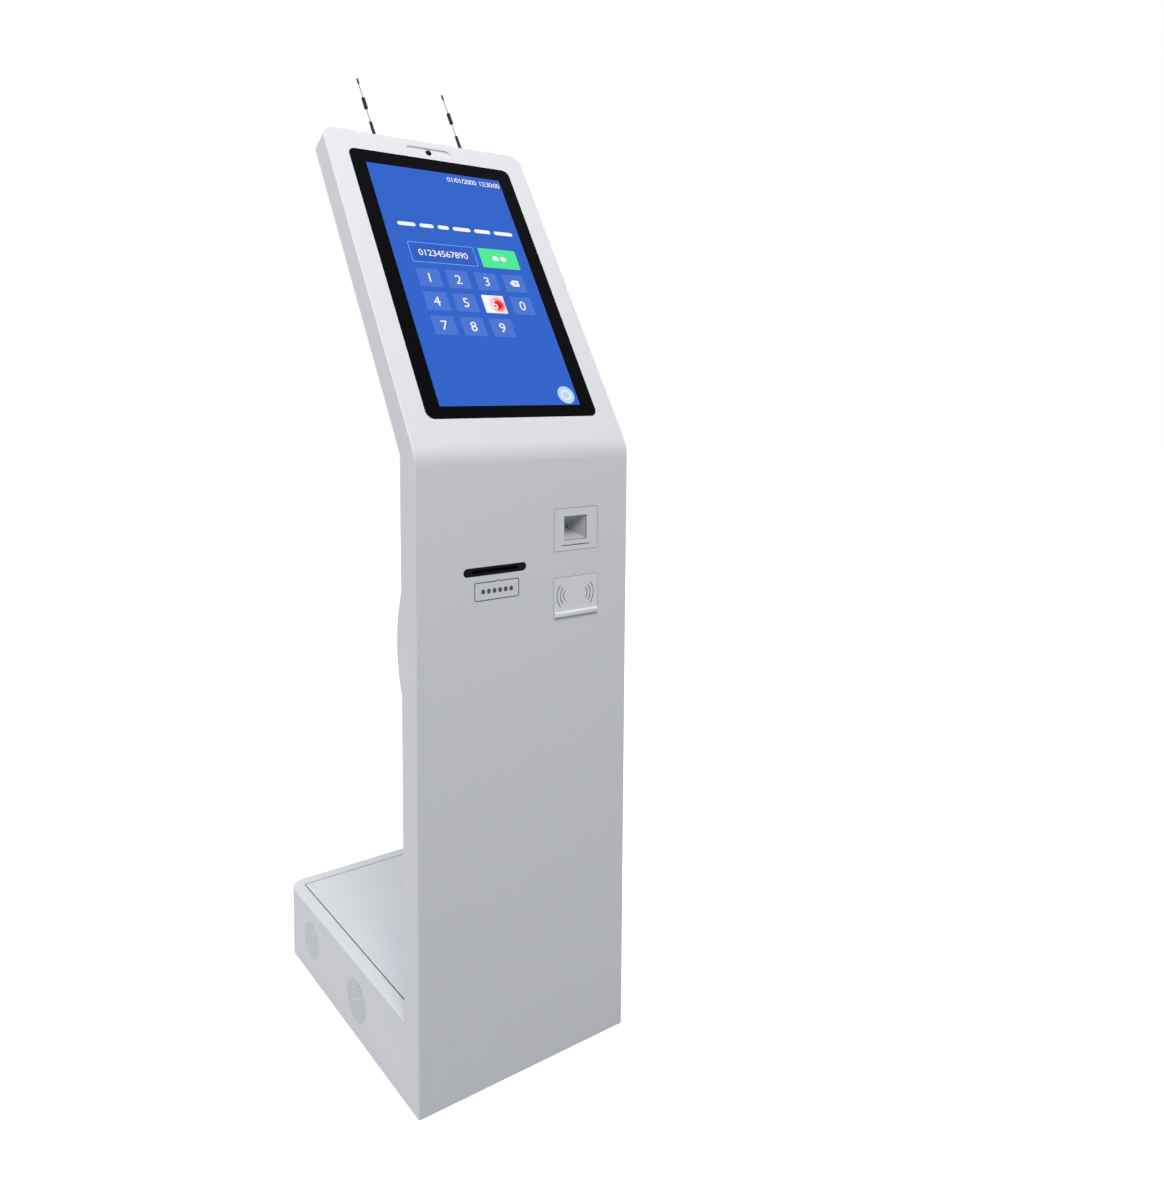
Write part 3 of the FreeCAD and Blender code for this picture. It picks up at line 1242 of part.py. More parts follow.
def printer_board():
    # Circuit board on the right cheek, with the case of the feed button on it.
    x0 = SLOT_X + CHEEK_OUT
    x1 = x0 + BOARD_POST
    x2 = x1 + BOARD_SHEET
    posts = []
    for y, up in BOARD_POST_PLACES:
        posts.append(rod(x0, y, BOARD_Z + up, X_AXIS, BOARD_POST_RADIUS, BOARD_POST))
    board = box(x1, x2, BOARD_FRONT, BOARD_REAR, BOARD_Z, BOARD_Z + BOARD_TALL)
    low = BOARD_Z + BUTTON_CASE_LOW
    high = BOARD_Z + BUTTON_CASE_HIGH
    case = box(x2, x0 + BUTTON_CASE_OUT, BUTTON_CASE_FRONT, BUTTON_CASE_REAR, low, high)
    well = rod(x0 + BUTTON_WELL_IN, BUTTON_Y, BOARD_Z + BUTTON_UP, X_AXIS, BUTTON_RADIUS + RUN, 10)
    return join(posts + [board, case]).cut(well)


def feed_button():
    x0 = SLOT_X + CHEEK_OUT + BUTTON_IN
    return rod(x0, BUTTON_Y, BOARD_Z + BUTTON_UP, X_AXIS, BUTTON_RADIUS, BUTTON_LENGTH)


def roll_bracket():
    # Bent bracket on the front sheet, with an arm at each end of the roll.
    half = PAPER_WIDTH / 2 + ROLL_SIDE
    z0 = BULGE_CENTRE - BRACKET_HALF
    z1 = BULGE_CENTRE + BRACKET_HALF
    x0 = SLOT_X - half - SHEET
    x1 = SLOT_X + half + SHEET
    back = box(x0, x1, FRONT_SHEET, FRONT_SHEET + SHEET, z0, z1)
    arms = []
    for start in (x0, SLOT_X + half):
        arms.append(box(start, start + SHEET, FRONT_SHEET, ROLL_Y + BRACKET_PAST_ROLL, z0, z1))
    hole = rod(x0 - 1, ROLL_Y, BULGE_CENTRE, X_AXIS, SPINDLE_RADIUS + RUN, x1 - x0 + 2)
    return join([back] + arms).cut(hole)


def roll_spindle():
    half = PAPER_WIDTH / 2 + ROLL_SIDE
    reach = half + SPINDLE_PAST
    shaft = rod(SLOT_X - reach, ROLL_Y, BULGE_CENTRE, X_AXIS, SPINDLE_RADIUS, 2 * reach)
    reach = half - HUB_SHORT
    hub = rod(SLOT_X - reach, ROLL_Y, BULGE_CENTRE, X_AXIS, CORE_BORE - RUN, 2 * reach)
    return join([shaft, hub])


def paper_roll():
    x0 = SLOT_X - PAPER_WIDTH / 2
    return tube(x0, ROLL_Y, BULGE_CENTRE, X_AXIS, ROLL_RADIUS, CORE_BORE, PAPER_WIDTH)


def control_board():
    # Input and output board on posts behind the column's front sheet.
    y0 = FRONT_SHEET + CONTROL_POST
    y1 = y0 + BOARD_SHEET
    middle = BASE_HEIGHT + CONTROL_UP
    reach = CONTROL_HALF - CONTROL_POST_INSET
    posts = []
    for x in (-reach, reach):
        for z in (middle - reach, middle + reach):
            posts.append(rod(x, FRONT_SHEET, z, Y_AXIS, POST_RADIUS, CONTROL_POST))
    board = box(-CONTROL_HALF, CONTROL_HALF, y0, y1, middle - CONTROL_HALF, middle + CONTROL_HALF)
    socket = on_board(CONTROL_SOCKET, y1, middle)
    chip = on_board(CONTROL_CHIP, y1, middle)
    return join(posts + [board, socket, chip])


def computer():
    front = COLUMN_DEPTH + COMPUTER_BEHIND
    rear = front + COMPUTER_LENGTH
    top = FLOOR_TOP + COMPUTER_TALL
    body = box(COMPUTER_LEFT, COMPUTER_RIGHT, front, rear, FLOOR_TOP, top)
    fins = []
    for row in range(FIN_COUNT):
        x = FIN_FIRST + row * FIN_PITCH
        fins.append(box(x, x + FIN_THICK, front + FIN_INSET, rear - FIN_INSET, top, top + FIN_TALL))
    return join([body] + fins)


def power_supply():
    front = BASE_REAR - POWER_FROM_REAR
    top = FLOOR_TOP + POWER_TALL
    case = box(POWER_LEFT, POWER_RIGHT, front, front + POWER_LENGTH, FLOOR_TOP, top)
    holes = []
    for row in range(POWER_VENT_ROWS):
        for column in range(POWER_VENT_COLUMNS):
            x = POWER_LEFT + POWER_VENT_INSET + column * POWER_VENT_PITCH
            y = front + POWER_VENT_INSET + row * POWER_VENT_PITCH
            depth = POWER_VENT_DEPTH
            holes.append(rod(x, y, top - depth, Z_AXIS, POWER_VENT_RADIUS, depth + 1))
    return case.cut(group(holes))


def modem():
    front = BASE_REAR - MODEM_FROM_REAR
    return box(MODEM_LEFT, MODEM_RIGHT, front, front + MODEM_LENGTH, FLOOR_TOP, FLOOR_TOP + MODEM_TALL)


def speaker():
    # Round frame on the side wall, with the cone's basket and the magnet behind it.
    frame = rod(-INNER, SPEAKER_Y, SPEAKER_Z, X_AXIS, SPEAKER_FIELD + GRILLE_MARGIN, SPEAKER_FRAME)
    start = Vector(-INNER + SPEAKER_FRAME, SPEAKER_Y, SPEAKER_Z)
    basket = Part.makeCone(SPEAKER_FIELD - BASKET_STEP, MAGNET_RADIUS, BASKET_DEPTH, start, X_AXIS)
    x0 = -INNER + SPEAKER_FRAME + BASKET_DEPTH
    magnet = rod(x0, SPEAKER_Y, SPEAKER_Z, X_AXIS, MAGNET_RADIUS, MAGNET_THICK)
    wall = Vector(-INNER, SPEAKER_Y, SPEAKER_Z)
    cone = Part.makeCone(SPEAKER_FIELD - CONE_STEP, CONE_END, CONE_DEPTH, wall, X_AXIS)
    return join([frame, basket, magnet]).cut(cone)


def fan_frame():
    half = FAN_FIELD + GRILLE_MARGIN
    x0 = -INNER
    body = box(x0, x0 + FAN_THICK, FAN_Y - half, FAN_Y + half, FAN_Z - half, FAN_Z + half)
    bore = rod(x0 - 1, FAN_Y, FAN_Z, X_AXIS, FAN_FIELD, FAN_THICK + 2)
    x1 = x0 + FAN_THICK
    hub_x = x1 - FAN_PLATE
    hub = rod(hub_x, FAN_Y, FAN_Z, X_AXIS, FAN_HUB, FAN_PLATE)
    pin = rod(x0 + FAN_PIN_START, FAN_Y, FAN_Z, X_AXIS, FAN_PIN, FAN_THICK - FAN_PIN_START)
    low = FAN_Y - FAN_STRUT_HALF
    high = FAN_Y + FAN_STRUT_HALF
    struts = []
    for count in range(FAN_STRUTS):
        strut = box(hub_x, x1, low, high, FAN_Z, FAN_Z + FAN_FIELD + 1)
        strut.rotate(Vector(0, FAN_Y, FAN_Z), X_AXIS, 45 + count * 360 / FAN_STRUTS)
        struts.append(strut)
    return join([body.cut(bore), hub, pin] + struts)


def fan_impeller():
    # Hub and seven pitched blades.
    x0 = -INNER + FAN_START
    length = FAN_THICK - FAN_FREE
    hub = rod(x0, FAN_Y, FAN_Z, X_AXIS, FAN_HUB, length)
    blades = []
    chord = length / 2 - 1
    for count in range(BLADE_COUNT):
        blade = box(-chord, chord, -BLADE_HALF, BLADE_HALF, FAN_HUB - 2, FAN_FIELD - BLADE_TIP_CLEAR)
        blade.rotate(Vector(0, 0, 0), Z_AXIS, BLADE_PITCH)
        blade.translate(Vector(x0 + length / 2, FAN_Y, FAN_Z))
        blade.rotate(Vector(0, FAN_Y, FAN_Z), X_AXIS, count * 360 / BLADE_COUNT)
        blades.append(blade)
    reach = FAN_FIELD + FAN_HUB
    keep = box(x0, x0 + length, FAN_Y - reach, FAN_Y + reach, FAN_Z - reach, FAN_Z + reach)
    shaft = rod(x0 - 1, FAN_Y, FAN_Z, X_AXIS, FAN_PIN + RUN, length + 2)
    return join([hub] + blades).common(keep).cut(shaft)


def mains_inlet():
    # Three-pin appliance inlet let into the back of the base.
    y0 = BASE_REAR - INLET_DEPTH
    wide = INLET_WIDTH - 2 * FIT
    tall = INLET_HEIGHT - 2 * FIT
    body = rounded_prism(INLET_X, INLET_Z, wide, tall, PLATE_CORNER, y0, BASE_REAR)
    flange = rounded_prism(INLET_X, INLET_Z, INLET_FLANGE_WIDTH, INLET_FLANGE_HEIGHT, INLET_CORNER,
                           BASE_REAR, BASE_REAR + INLET_PROUD)
    well = rounded_prism(INLET_X, INLET_Z, WELL_WIDTH, WELL_HEIGHT, INLET_CORNER,
                         y0 + WELL_FLOOR, BASE_REAR + INLET_PROUD + 1)
    pins = []
    for x, z in PIN_PLACES:
        left = INLET_X + x - PIN_HALF_WIDTH
        low = INLET_Z + z - PIN_HALF_HEIGHT
        root = y0 + WELL_FLOOR / 2
        tip = BASE_REAR - PIN_SHORT
        pins.append(box(left, left + 2 * PIN_HALF_WIDTH, root, tip, low, low + 2 * PIN_HALF_HEIGHT))
    return join([join([body, flange]).cut(well)] + pins)


def switch_case():
    y0 = BASE_REAR - SWITCH_DEPTH
    x0 = ROCKER_X - SWITCH_HALF_WIDTH
    z0 = INLET_Z - SWITCH_HALF_HEIGHT
    body = box(x0, x0 + 2 * SWITCH_HALF_WIDTH, y0, BASE_REAR, z0, z0 + 2 * SWITCH_HALF_HEIGHT)
    flange = rounded_prism(ROCKER_X, INLET_Z, SWITCH_FLANGE_WIDTH, SWITCH_FLANGE_HEIGHT, PLATE_CORNER,
                           BASE_REAR, BASE_REAR + 1)
    x0 = ROCKER_X - SWITCH_WELL_HALF
    z0 = INLET_Z - SWITCH_WELL_REACH
    well = box(x0, x0 + 2 * SWITCH_WELL_HALF, y0 + WELL_FLOOR, BASE_REAR + 2, z0, z0 + 2 * SWITCH_WELL_REACH)
    reach = SWITCH_HALF_WIDTH + 0.3
    hole = rod(ROCKER_X - reach, ROCKER_AXIS_Y, INLET_Z, X_AXIS, SWITCH_PIN + RUN, 2 * reach)
    return join([body, flange]).cut(group([well, hole]))


def rocker():
    # Paddle on a cross pin, tipped to the off side at rest.
    paddle = box(-PADDLE_HALF, PADDLE_HALF, -PADDLE_BEHIND, PADDLE_OUT, -PADDLE_REACH, PADDLE_REACH)
    reach = PADDLE_HALF + 0.8
    dip = rod(-reach, DIP_CENTRE, 0, X_AXIS, DIP_RADIUS, 2 * reach)
    pin = rod(-ROCKER_PIN_HALF, 0, 0, X_AXIS, SWITCH_PIN, 2 * ROCKER_PIN_HALF)
    shape = join([paddle.cut(dip), pin])
    shape.rotate(Vector(0, 0, 0), X_AXIS, ROCKER_TILT)
    shape.translate(Vector(ROCKER_X, ROCKER_AXIS_Y, INLET_Z))
    return shape


SUBPARTS = {
    "front_panel": front_panel,
    "side_band_left": lambda: side_band(-1),
    "side_band_right": lambda: side_band(1),
    "head_top_band": head_top_band,
    "back_cover_lower": back_cover_lower,
    "back_cover_upper": back_cover_upper,
    "head_back_cover": head_back_cover,
    "cover_screws": cover_screws,
    "paper_door": paper_door,
    "door_hinge_pin": door_hinge_pin,
    "lock_body": lock_body,
    "lock_core": lock_core,
    "base_plate": base_plate,
    "foot_pads": foot_pads,
    "base_side_left": lambda: base_side(-1),
    "base_side_right": lambda: base_side(1),
    "base_back": base_back,
    "base_rim": base_rim,
    "base_lid": base_lid,
    "touch_glass": touch_glass,
    "display_panel": display_panel,
    "display_brackets": display_brackets,
    "display_tray": display_tray,
    "display_board": display_board,
    "camera_bezel": camera_bezel,
    "camera_module": camera_module,
    "antenna_bases": antenna_bases,
    "antenna_whips": antenna_whips,
    "antenna_covers": antenna_covers,
    "ticket_bezel": ticket_bezel,
    "scanner_bezel": scanner_bezel,
    "scanner_module": scanner_module,
    "card_plate": card_plate,
    "card_reader": card_reader,
    "printer_shelf": printer_shelf,
    "printer_frame": printer_frame,
    "platen_roller": platen_roller,
    "platen_shaft": platen_shaft,
    "idler_gear": idler_gear,
    "motor_pinion": motor_pinion,
    "motor": motor,
    "cutter_frame": cutter_frame,
    "cutter_blade": cutter_blade,
    "printer_cover": printer_cover,
    "thermal_head": thermal_head,
    "printer_board": printer_board,
    "feed_button": feed_button,
    "roll_bracket": roll_bracket,
    "roll_spindle": roll_spindle,
    "paper_roll": paper_roll,
    "control_board": control_board,
    "computer": computer,
    "power_supply": power_supply,
    "modem": modem,
    "speaker": speaker,
    "fan_frame": fan_frame,
    "fan_impeller": fan_impeller,
    "mains_inlet": mains_inlet,
    "switch_case": switch_case,
    "rocker": rocker,
}

os.makedirs("parts", exist_ok=True)
for name, make in SUBPARTS.items():
    save(name, make())
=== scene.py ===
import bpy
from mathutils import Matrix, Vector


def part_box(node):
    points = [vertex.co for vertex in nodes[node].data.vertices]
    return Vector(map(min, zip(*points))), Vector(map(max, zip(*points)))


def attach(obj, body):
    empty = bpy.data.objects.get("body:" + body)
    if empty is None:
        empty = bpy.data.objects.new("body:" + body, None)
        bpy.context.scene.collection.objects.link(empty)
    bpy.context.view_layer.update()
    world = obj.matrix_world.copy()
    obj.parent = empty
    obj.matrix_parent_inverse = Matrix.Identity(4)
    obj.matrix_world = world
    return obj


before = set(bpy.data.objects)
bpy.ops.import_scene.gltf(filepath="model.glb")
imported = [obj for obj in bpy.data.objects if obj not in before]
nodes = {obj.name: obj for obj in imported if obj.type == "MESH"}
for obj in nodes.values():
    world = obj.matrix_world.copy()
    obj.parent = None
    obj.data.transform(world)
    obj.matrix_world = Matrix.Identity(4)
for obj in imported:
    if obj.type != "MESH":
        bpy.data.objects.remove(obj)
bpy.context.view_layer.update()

import math

import bmesh
import bpy
import numpy as np


# Camera, standing to the left of the kiosk and level with its head.
# The lens, the stand point and the two turns were fitted to the straight edges of the column, the head and
# the base in the photograph; the shift puts the kiosk left of the middle, as it is there.
IMAGE_WIDTH = 1164
IMAGE_HEIGHT = 1194
FOCAL_PIXELS = 938.8
AXIS_ACROSS = 499.8
AXIS_DOWN = 457.0
CAMERA_PLACE = (-0.9206, -1.5933, 1.2145)
CAMERA_PITCH = -0.0737
CAMERA_YAW = -0.5849
SENSOR = 36.0
camera_data = bpy.data.cameras.new("camera")
camera_data.sensor_width = SENSOR
camera_data.lens = FOCAL_PIXELS * SENSOR / IMAGE_HEIGHT
camera_data.shift_x = (IMAGE_WIDTH / 2 - AXIS_ACROSS) / IMAGE_HEIGHT
camera_data.shift_y = (AXIS_DOWN - IMAGE_HEIGHT / 2) / IMAGE_HEIGHT
camera = bpy.data.objects.new("camera", camera_data)
camera.location = CAMERA_PLACE
camera.rotation_euler = (math.pi / 2 + CAMERA_PITCH, 0, CAMERA_YAW)
bpy.context.scene.collection.objects.link(camera)
bpy.context.scene.camera = camera
bpy.context.scene.view_settings.view_transform = "Standard"


# Studio: a white surround that lights weakly, a large soft lamp high in front, and fills round the kiosk.
# What the camera, glass and metal see of the surround is full white; the light on the kiosk is set apart.
SURROUND_LIGHT = (0.80, 0.86, 1.0)
SURROUND_STRENGTH = 0.208
WARM_WHITE = (1.0, 0.99, 0.98)
COOL_WHITE = (0.98, 0.99, 1.0)
KEY_PLACE = (-0.6, -2.6, 4.6)
KEY_TARGET = (0, 0, 1.0)
KEY_SIZE = 2.6
KEY_POWER = 145.3
FILL_TARGET = (0, 0, 0.9)
TOP_PLACE = (-0.2, 0.4, 5.4)
TOP_SIZE = 2.4
TOP_POWER = 10.0
LEFT_PLACE = (-4.2, 0.6, 2.4)
LEFT_SIZE = 2.6
LEFT_POWER = 71.5
BACK_PLACE = (1.5, 4.2, 3.2)
BACK_SIZE = 2.5
BACK_POWER = 60.0


def node_input(node, name, value):
    """Sets a constant on the shader's own socket, or joins a socket of another node to it."""
    if isinstance(value, bpy.types.NodeSocket):
        node.id_data.links.new(value, node.inputs[name])
    else:
        node.inputs[name].default_value = value


def calculate(tree, operation, first, second=0.0):
    """One sum or comparison of two values, each a number or another node's socket."""
    step = tree.nodes.new("ShaderNodeMath")
    step.operation = operation
    node_input(step, 0, first)
    node_input(step, 1, second)
    return step.outputs[0]


def show_apart(tree, lighting, shown, output):
    """Joins two shaders to the output: shown is what camera, gloss and glass see, lighting what lights."""
    rays = tree.nodes.new("ShaderNodeLightPath").outputs
    camera_or_gloss = calculate(tree, "MAXIMUM", rays["Is Camera Ray"], rays["Is Glossy Ray"])
    mix = tree.nodes.new("ShaderNodeMixShader")
    node_input(mix, "Fac", calculate(tree, "MAXIMUM", camera_or_gloss, rays["Is Transmission Ray"]))
    node_input(mix, 1, lighting)
    node_input(mix, 2, shown)
    node_input(tree.nodes[output], "Surface", mix.outputs[0])


def make_surround():
    world = bpy.data.worlds.new("surround")
    world.use_nodes = True
    tree = world.node_tree
    weak = tree.nodes["Background"]
    weak.inputs["Color"].default_value = (*SURROUND_LIGHT, 1)
    weak.inputs["Strength"].default_value = SURROUND_STRENGTH
    white = tree.nodes.new("ShaderNodeBackground")
    white.inputs["Color"].default_value = (1, 1, 1, 1)
    show_apart(tree, weak.outputs[0], white.outputs[0], "World Output")
    bpy.context.scene.world = world


def lamp(name, place, target, size, power, colour):
    """A round soft lamp turned at its target: pitch from rise over level run, yaw from the run's heading."""
    data = bpy.data.lights.new(name, "AREA")
    data.shape = "DISK"
    data.size = size
    data.energy = power
    data.color = colour
    light = bpy.data.objects.new(name, data)
    light.location = place
    aim = np.array(target) - np.array(place)
    level = math.hypot(aim[0], aim[1])
    light.rotation_euler = (math.pi / 2 + math.atan2(aim[2], level), 0, math.atan2(-aim[0], aim[1]))
    bpy.context.scene.collection.objects.link(light)


make_surround()
lamp("key", KEY_PLACE, KEY_TARGET, KEY_SIZE, KEY_POWER, WARM_WHITE)
lamp("top", TOP_PLACE, FILL_TARGET, TOP_SIZE, TOP_POWER, WARM_WHITE)
lamp("left_fill", LEFT_PLACE, FILL_TARGET, LEFT_SIZE, LEFT_POWER, WARM_WHITE)
lamp("back_fill", BACK_PLACE, FILL_TARGET, BACK_SIZE, BACK_POWER, COOL_WHITE)


# Floor: a plain white studio floor, wide enough to fill the view. It keeps the kiosk's soft shadow.
# Its own glow makes up what the lamps and the surround leave it short of white far from the kiosk.
FLOOR_HALF = 12.0
FLOOR_WHITE = 0.95
FLOOR_SHOWN = 1.02
FLOOR_BOUNCE = (0.36, 0.365, 0.38)
FLOOR_GLOW = FLOOR_SHOWN - FLOOR_WHITE * SURROUND_STRENGTH * SURROUND_LIGHT[0]


def make_floor():
    data = bpy.data.meshes.new("floor")
    corners = [(-1, -1), (1, -1), (1, 1), (-1, 1)]
    data.from_pydata([(x * FLOOR_HALF, y * FLOOR_HALF, 0) for x, y in corners], [], [(0, 1, 2, 3)])
    floor = bpy.data.objects.new("floor", data)
    bpy.context.scene.collection.objects.link(floor)
    material = bpy.data.materials.new("studio_floor")
    material.use_nodes = True
    tree = material.node_tree
    tree.nodes.remove(tree.nodes["Principled BSDF"])
    bounce = tree.nodes.new("ShaderNodeBsdfDiffuse")
    bounce.inputs["Color"].default_value = (*FLOOR_BOUNCE, 1)
    bright = tree.nodes.new("ShaderNodeBsdfDiffuse")
    bright.inputs["Color"].default_value = (FLOOR_WHITE, FLOOR_WHITE, FLOOR_WHITE, 1)
    glow = tree.nodes.new("ShaderNodeEmission")
    glow.inputs["Strength"].default_value = FLOOR_GLOW
    total = tree.nodes.new("ShaderNodeAddShader")
    tree.links.new(bright.outputs[0], total.inputs[0])
    tree.links.new(glow.outputs[0], total.inputs[1])
    show_apart(tree, bounce.outputs[0], total.outputs[0], "Material Output")
    data.materials.append(material)


make_floor()


# Sheet-metal housing: folded steel with a white powder coat, baked on after the bending and the welding.
# The coat has a fine skin like orange peel, a soft gloss, and very slight differences of tone along it.
COAT_COLOUR = (0.805, 0.818, 0.845)
COAT_DEEPER = (0.785, 0.799, 0.829)
COAT_PATCHES = 2.3
COAT_ROUGHNESS = (0.40, 0.50)
COAT_SHEEN_PATCHES = 9.0
COAT_SPECULAR = 0.35
COAT_GRAIN = 1400.0
COAT_RELIEF = (0.12, 0.00012)
HOUSING_NODES = ("front_panel", "side_band_left", "side_band_right", "head_top_band", "back_cover_lower",
                 "back_cover_upper", "head_back_cover", "paper_door", "base_side_left", "base_side_right",
                 "base_back")


def new_material(name):
    """A material with its Principled shader and the object's own coordinates."""
    material = bpy.data.materials.new(name)
    material.use_nodes = True
    tree = material.node_tree
    place = tree.nodes.new("ShaderNodeTexCoord").outputs["Object"]
    return material, tree, tree.nodes["Principled BSDF"], place


def moved(tree, place, shift=(0, 0, 0), scale=(1, 1, 1)):
    """Coordinates that are scaled about the origin and then shifted."""
    mapping = tree.nodes.new("ShaderNodeMapping")
    mapping.inputs["Location"].default_value = shift
    mapping.inputs["Scale"].default_value = scale
    tree.links.new(place, mapping.inputs["Vector"])
    return mapping.outputs["Vector"]


def noise(tree, place, scale, detail=2.0, stretch=None):
    """Noise on the object's coordinates, stretched along an axis where the finish runs one way."""
    if stretch is not None:
        place = moved(tree, place, scale=stretch)
    texture = tree.nodes.new("ShaderNodeTexNoise")
    texture.inputs["Scale"].default_value = scale
    texture.inputs["Detail"].default_value = detail
    tree.links.new(place, texture.inputs["Vector"])
    return texture.outputs["Fac"]


def between(tree, value, low, high, start=0.0, end=1.0, easing="LINEAR"):
    """Carries a value that runs from start to end to one that runs from low to high, and no further."""
    reach = tree.nodes.new("ShaderNodeMapRange")
    reach.interpolation_type = easing
    reach.inputs["From Min"].default_value = start
    reach.inputs["From Max"].default_value = end
    reach.inputs["To Min"].default_value = low
    reach.inputs["To Max"].default_value = high
    tree.links.new(value, reach.inputs["Value"])
    return reach.outputs["Result"]


def blend_colours(tree, share, low, high):
    """Carries a share from 0 to 1 to a colour between low and high, each three numbers or a node's socket."""
    mix = tree.nodes.new("ShaderNodeMix")
    mix.data_type = "RGBA"
    for name, colour in (("A", low), ("B", high)):
        node_input(mix, name, colour if isinstance(colour, bpy.types.NodeSocket) else (*colour, 1))
    tree.links.new(share, mix.inputs["Factor"])
    return mix.outputs["Result"]


def bump(tree, shader, height, strength, distance):
    relief = tree.nodes.new("ShaderNodeBump")
    relief.inputs["Strength"].default_value = strength
    relief.inputs["Distance"].default_value = distance
    tree.links.new(height, relief.inputs["Height"])
    tree.links.new(relief.outputs["Normal"], shader.inputs["Normal"])


def powder_coat(name):
    material, tree, shader, place = new_material(name)
    tone = noise(tree, place, COAT_PATCHES)
    node_input(shader, "Base Color", blend_colours(tree, tone, COAT_DEEPER, COAT_COLOUR))
    sheen = noise(tree, place, COAT_SHEEN_PATCHES)
    node_input(shader, "Roughness", between(tree, sheen, *COAT_ROUGHNESS))
    node_input(shader, "Specular IOR Level", COAT_SPECULAR)
    bump(tree, shader, noise(tree, place, COAT_GRAIN, 1.0), *COAT_RELIEF)
    return material


def paint(material, names):
    """Gives the named parts of the construction one material in place of their own."""
    for name in names:
        mesh = nodes[name].data
        mesh.materials.clear()
        mesh.materials.append(material)


paint(powder_coat("white_coat"), HOUSING_NODES)


# Lid of the base: the same coated sheet as the rim round it, lifted off by hand.
# The narrow gap between the two is drawn as a thin dark line of painted shade along both edges.
SEAM_WIDTH = 0.0017
SEAM_PAINTED_SHADE = (0.13, 0.13, 0.14)


def axes(tree, place):
    """The x, y and z of a place, each on a socket of its own."""
    split = tree.nodes.new("ShaderNodeSeparateXYZ")
    tree.links.new(place, split.inputs[0])
    return split.outputs


def seamed_coat():
    """The coat, with painted shade near the lid's outline: the distance to it is |max(|x - mx| - hx, |y - my|
    - hy)|.
    """
    material = powder_coat("lid_and_rim_coat")
    tree = material.node_tree
    coat = tree.nodes["Principled BSDF"].inputs["Base Color"]
    colour = coat.links[0].from_socket
    place = axes(tree, tree.nodes.new("ShaderNodeTexCoord").outputs["Object"])
    low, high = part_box("base_lid")
    beyond = []
    for axis in (0, 1):
        off_middle = calculate(tree, "SUBTRACT", place[axis], (low[axis] + high[axis]) / 2)
        size = calculate(tree, "ABSOLUTE", off_middle)
        beyond.append(calculate(tree, "SUBTRACT", size, (high[axis] - low[axis]) / 2))
    distance = calculate(tree, "ABSOLUTE", calculate(tree, "MAXIMUM", *beyond))
    # Painted shade of the gap: the coat darkens towards the lid's outline over SEAM_WIDTH.
    shade = between(tree, distance, 0.0, 1.0, end=SEAM_WIDTH)
    tree.links.new(blend_colours(tree, shade, SEAM_PAINTED_SHADE, colour), coat)
    return material


paint(seamed_coat(), ("base_lid", "base_rim"))


# Plastics: the pale moulded camera bezel and card plate, the black mouldings, and the small coloured ones.
# Each has the fine spark-eroded grain of its mould, and is a little duller where the grain stands up.
MOULD_DETAIL = 3.0
MOULD_SHEEN = 0.06
MOULD_RELIEF = (0.18, 0.0001)


def moulded(name, light, deep, rough, grain, specular=0.4):
    material, tree, shader, place = new_material(name)
    fleck = noise(tree, place, grain, MOULD_DETAIL)
    node_input(shader, "Base Color", blend_colours(tree, fleck, deep, light))
    node_input(shader, "Roughness", between(tree, fleck, rough - MOULD_SHEEN, rough + MOULD_SHEEN))
    node_input(shader, "Specular IOR Level", specular)
    bump(tree, shader, fleck, *MOULD_RELIEF)
    return material


pale_bezel = moulded("pale_bezel", light=(0.815, 0.827, 0.852), deep=(0.795, 0.808, 0.834), rough=0.42,
                     grain=900.0)
card_face = moulded("card_face", light=(0.865, 0.877, 0.90), deep=(0.85, 0.862, 0.886), rough=0.32,
                    grain=1100.0)
black_moulding = moulded("black_moulding", light=(0.022, 0.023, 0.027), deep=(0.014, 0.015, 0.018),
                         rough=0.42, grain=700.0, specular=0.12)
slot_mouth = moulded("slot_mouth", light=(0.007, 0.008, 0.012), deep=(0.004, 0.005, 0.008), rough=0.45,
                     grain=700.0, specular=0.06)
gear_acetal = moulded("gear_acetal", light=(0.86, 0.85, 0.80), deep=(0.82, 0.81, 0.76), rough=0.38,
                      grain=500.0)
button_green = moulded("button_green", light=(0.10, 0.45, 0.20), deep=(0.08, 0.38, 0.16), rough=0.35,
                       grain=700.0)
paint(pale_bezel, ("camera_bezel",))
paint(card_face, ("card_plate",))
paint(black_moulding, ("card_reader", "antenna_bases", "antenna_covers", "cutter_frame", "roll_spindle",
                       "modem", "fan_frame", "fan_impeller", "mains_inlet", "switch_case", "rocker"))
paint(slot_mouth, ("ticket_bezel",))
paint(gear_acetal, ("idler_gear",))
paint(button_green, ("feed_button",))


# Metal parts: zinc-plated sheet and turned steel inside, the antennas' whips, and the dark anodised cases.
# The surface shows faint streaks along the way that it was rolled, drawn or turned, and a mottled sheen.
METAL_STREAKS = 60.0
METAL_DETAIL = 4.0
METAL_SHEEN = 0.07
METAL_RELIEF = (0.08, 0.0001)


def plated(name, light, deep, rough, stretch):
    material, tree, shader, place = new_material(name)
    streak = noise(tree, place, METAL_STREAKS, METAL_DETAIL, stretch)
    node_input(shader, "Base Color", blend_colours(tree, streak, deep, light))
    node_input(shader, "Roughness", between(tree, streak, rough - METAL_SHEEN, rough + METAL_SHEEN))
    node_input(shader, "Metallic", 1.0)
    bump(tree, shader, streak, *METAL_RELIEF)
    return material


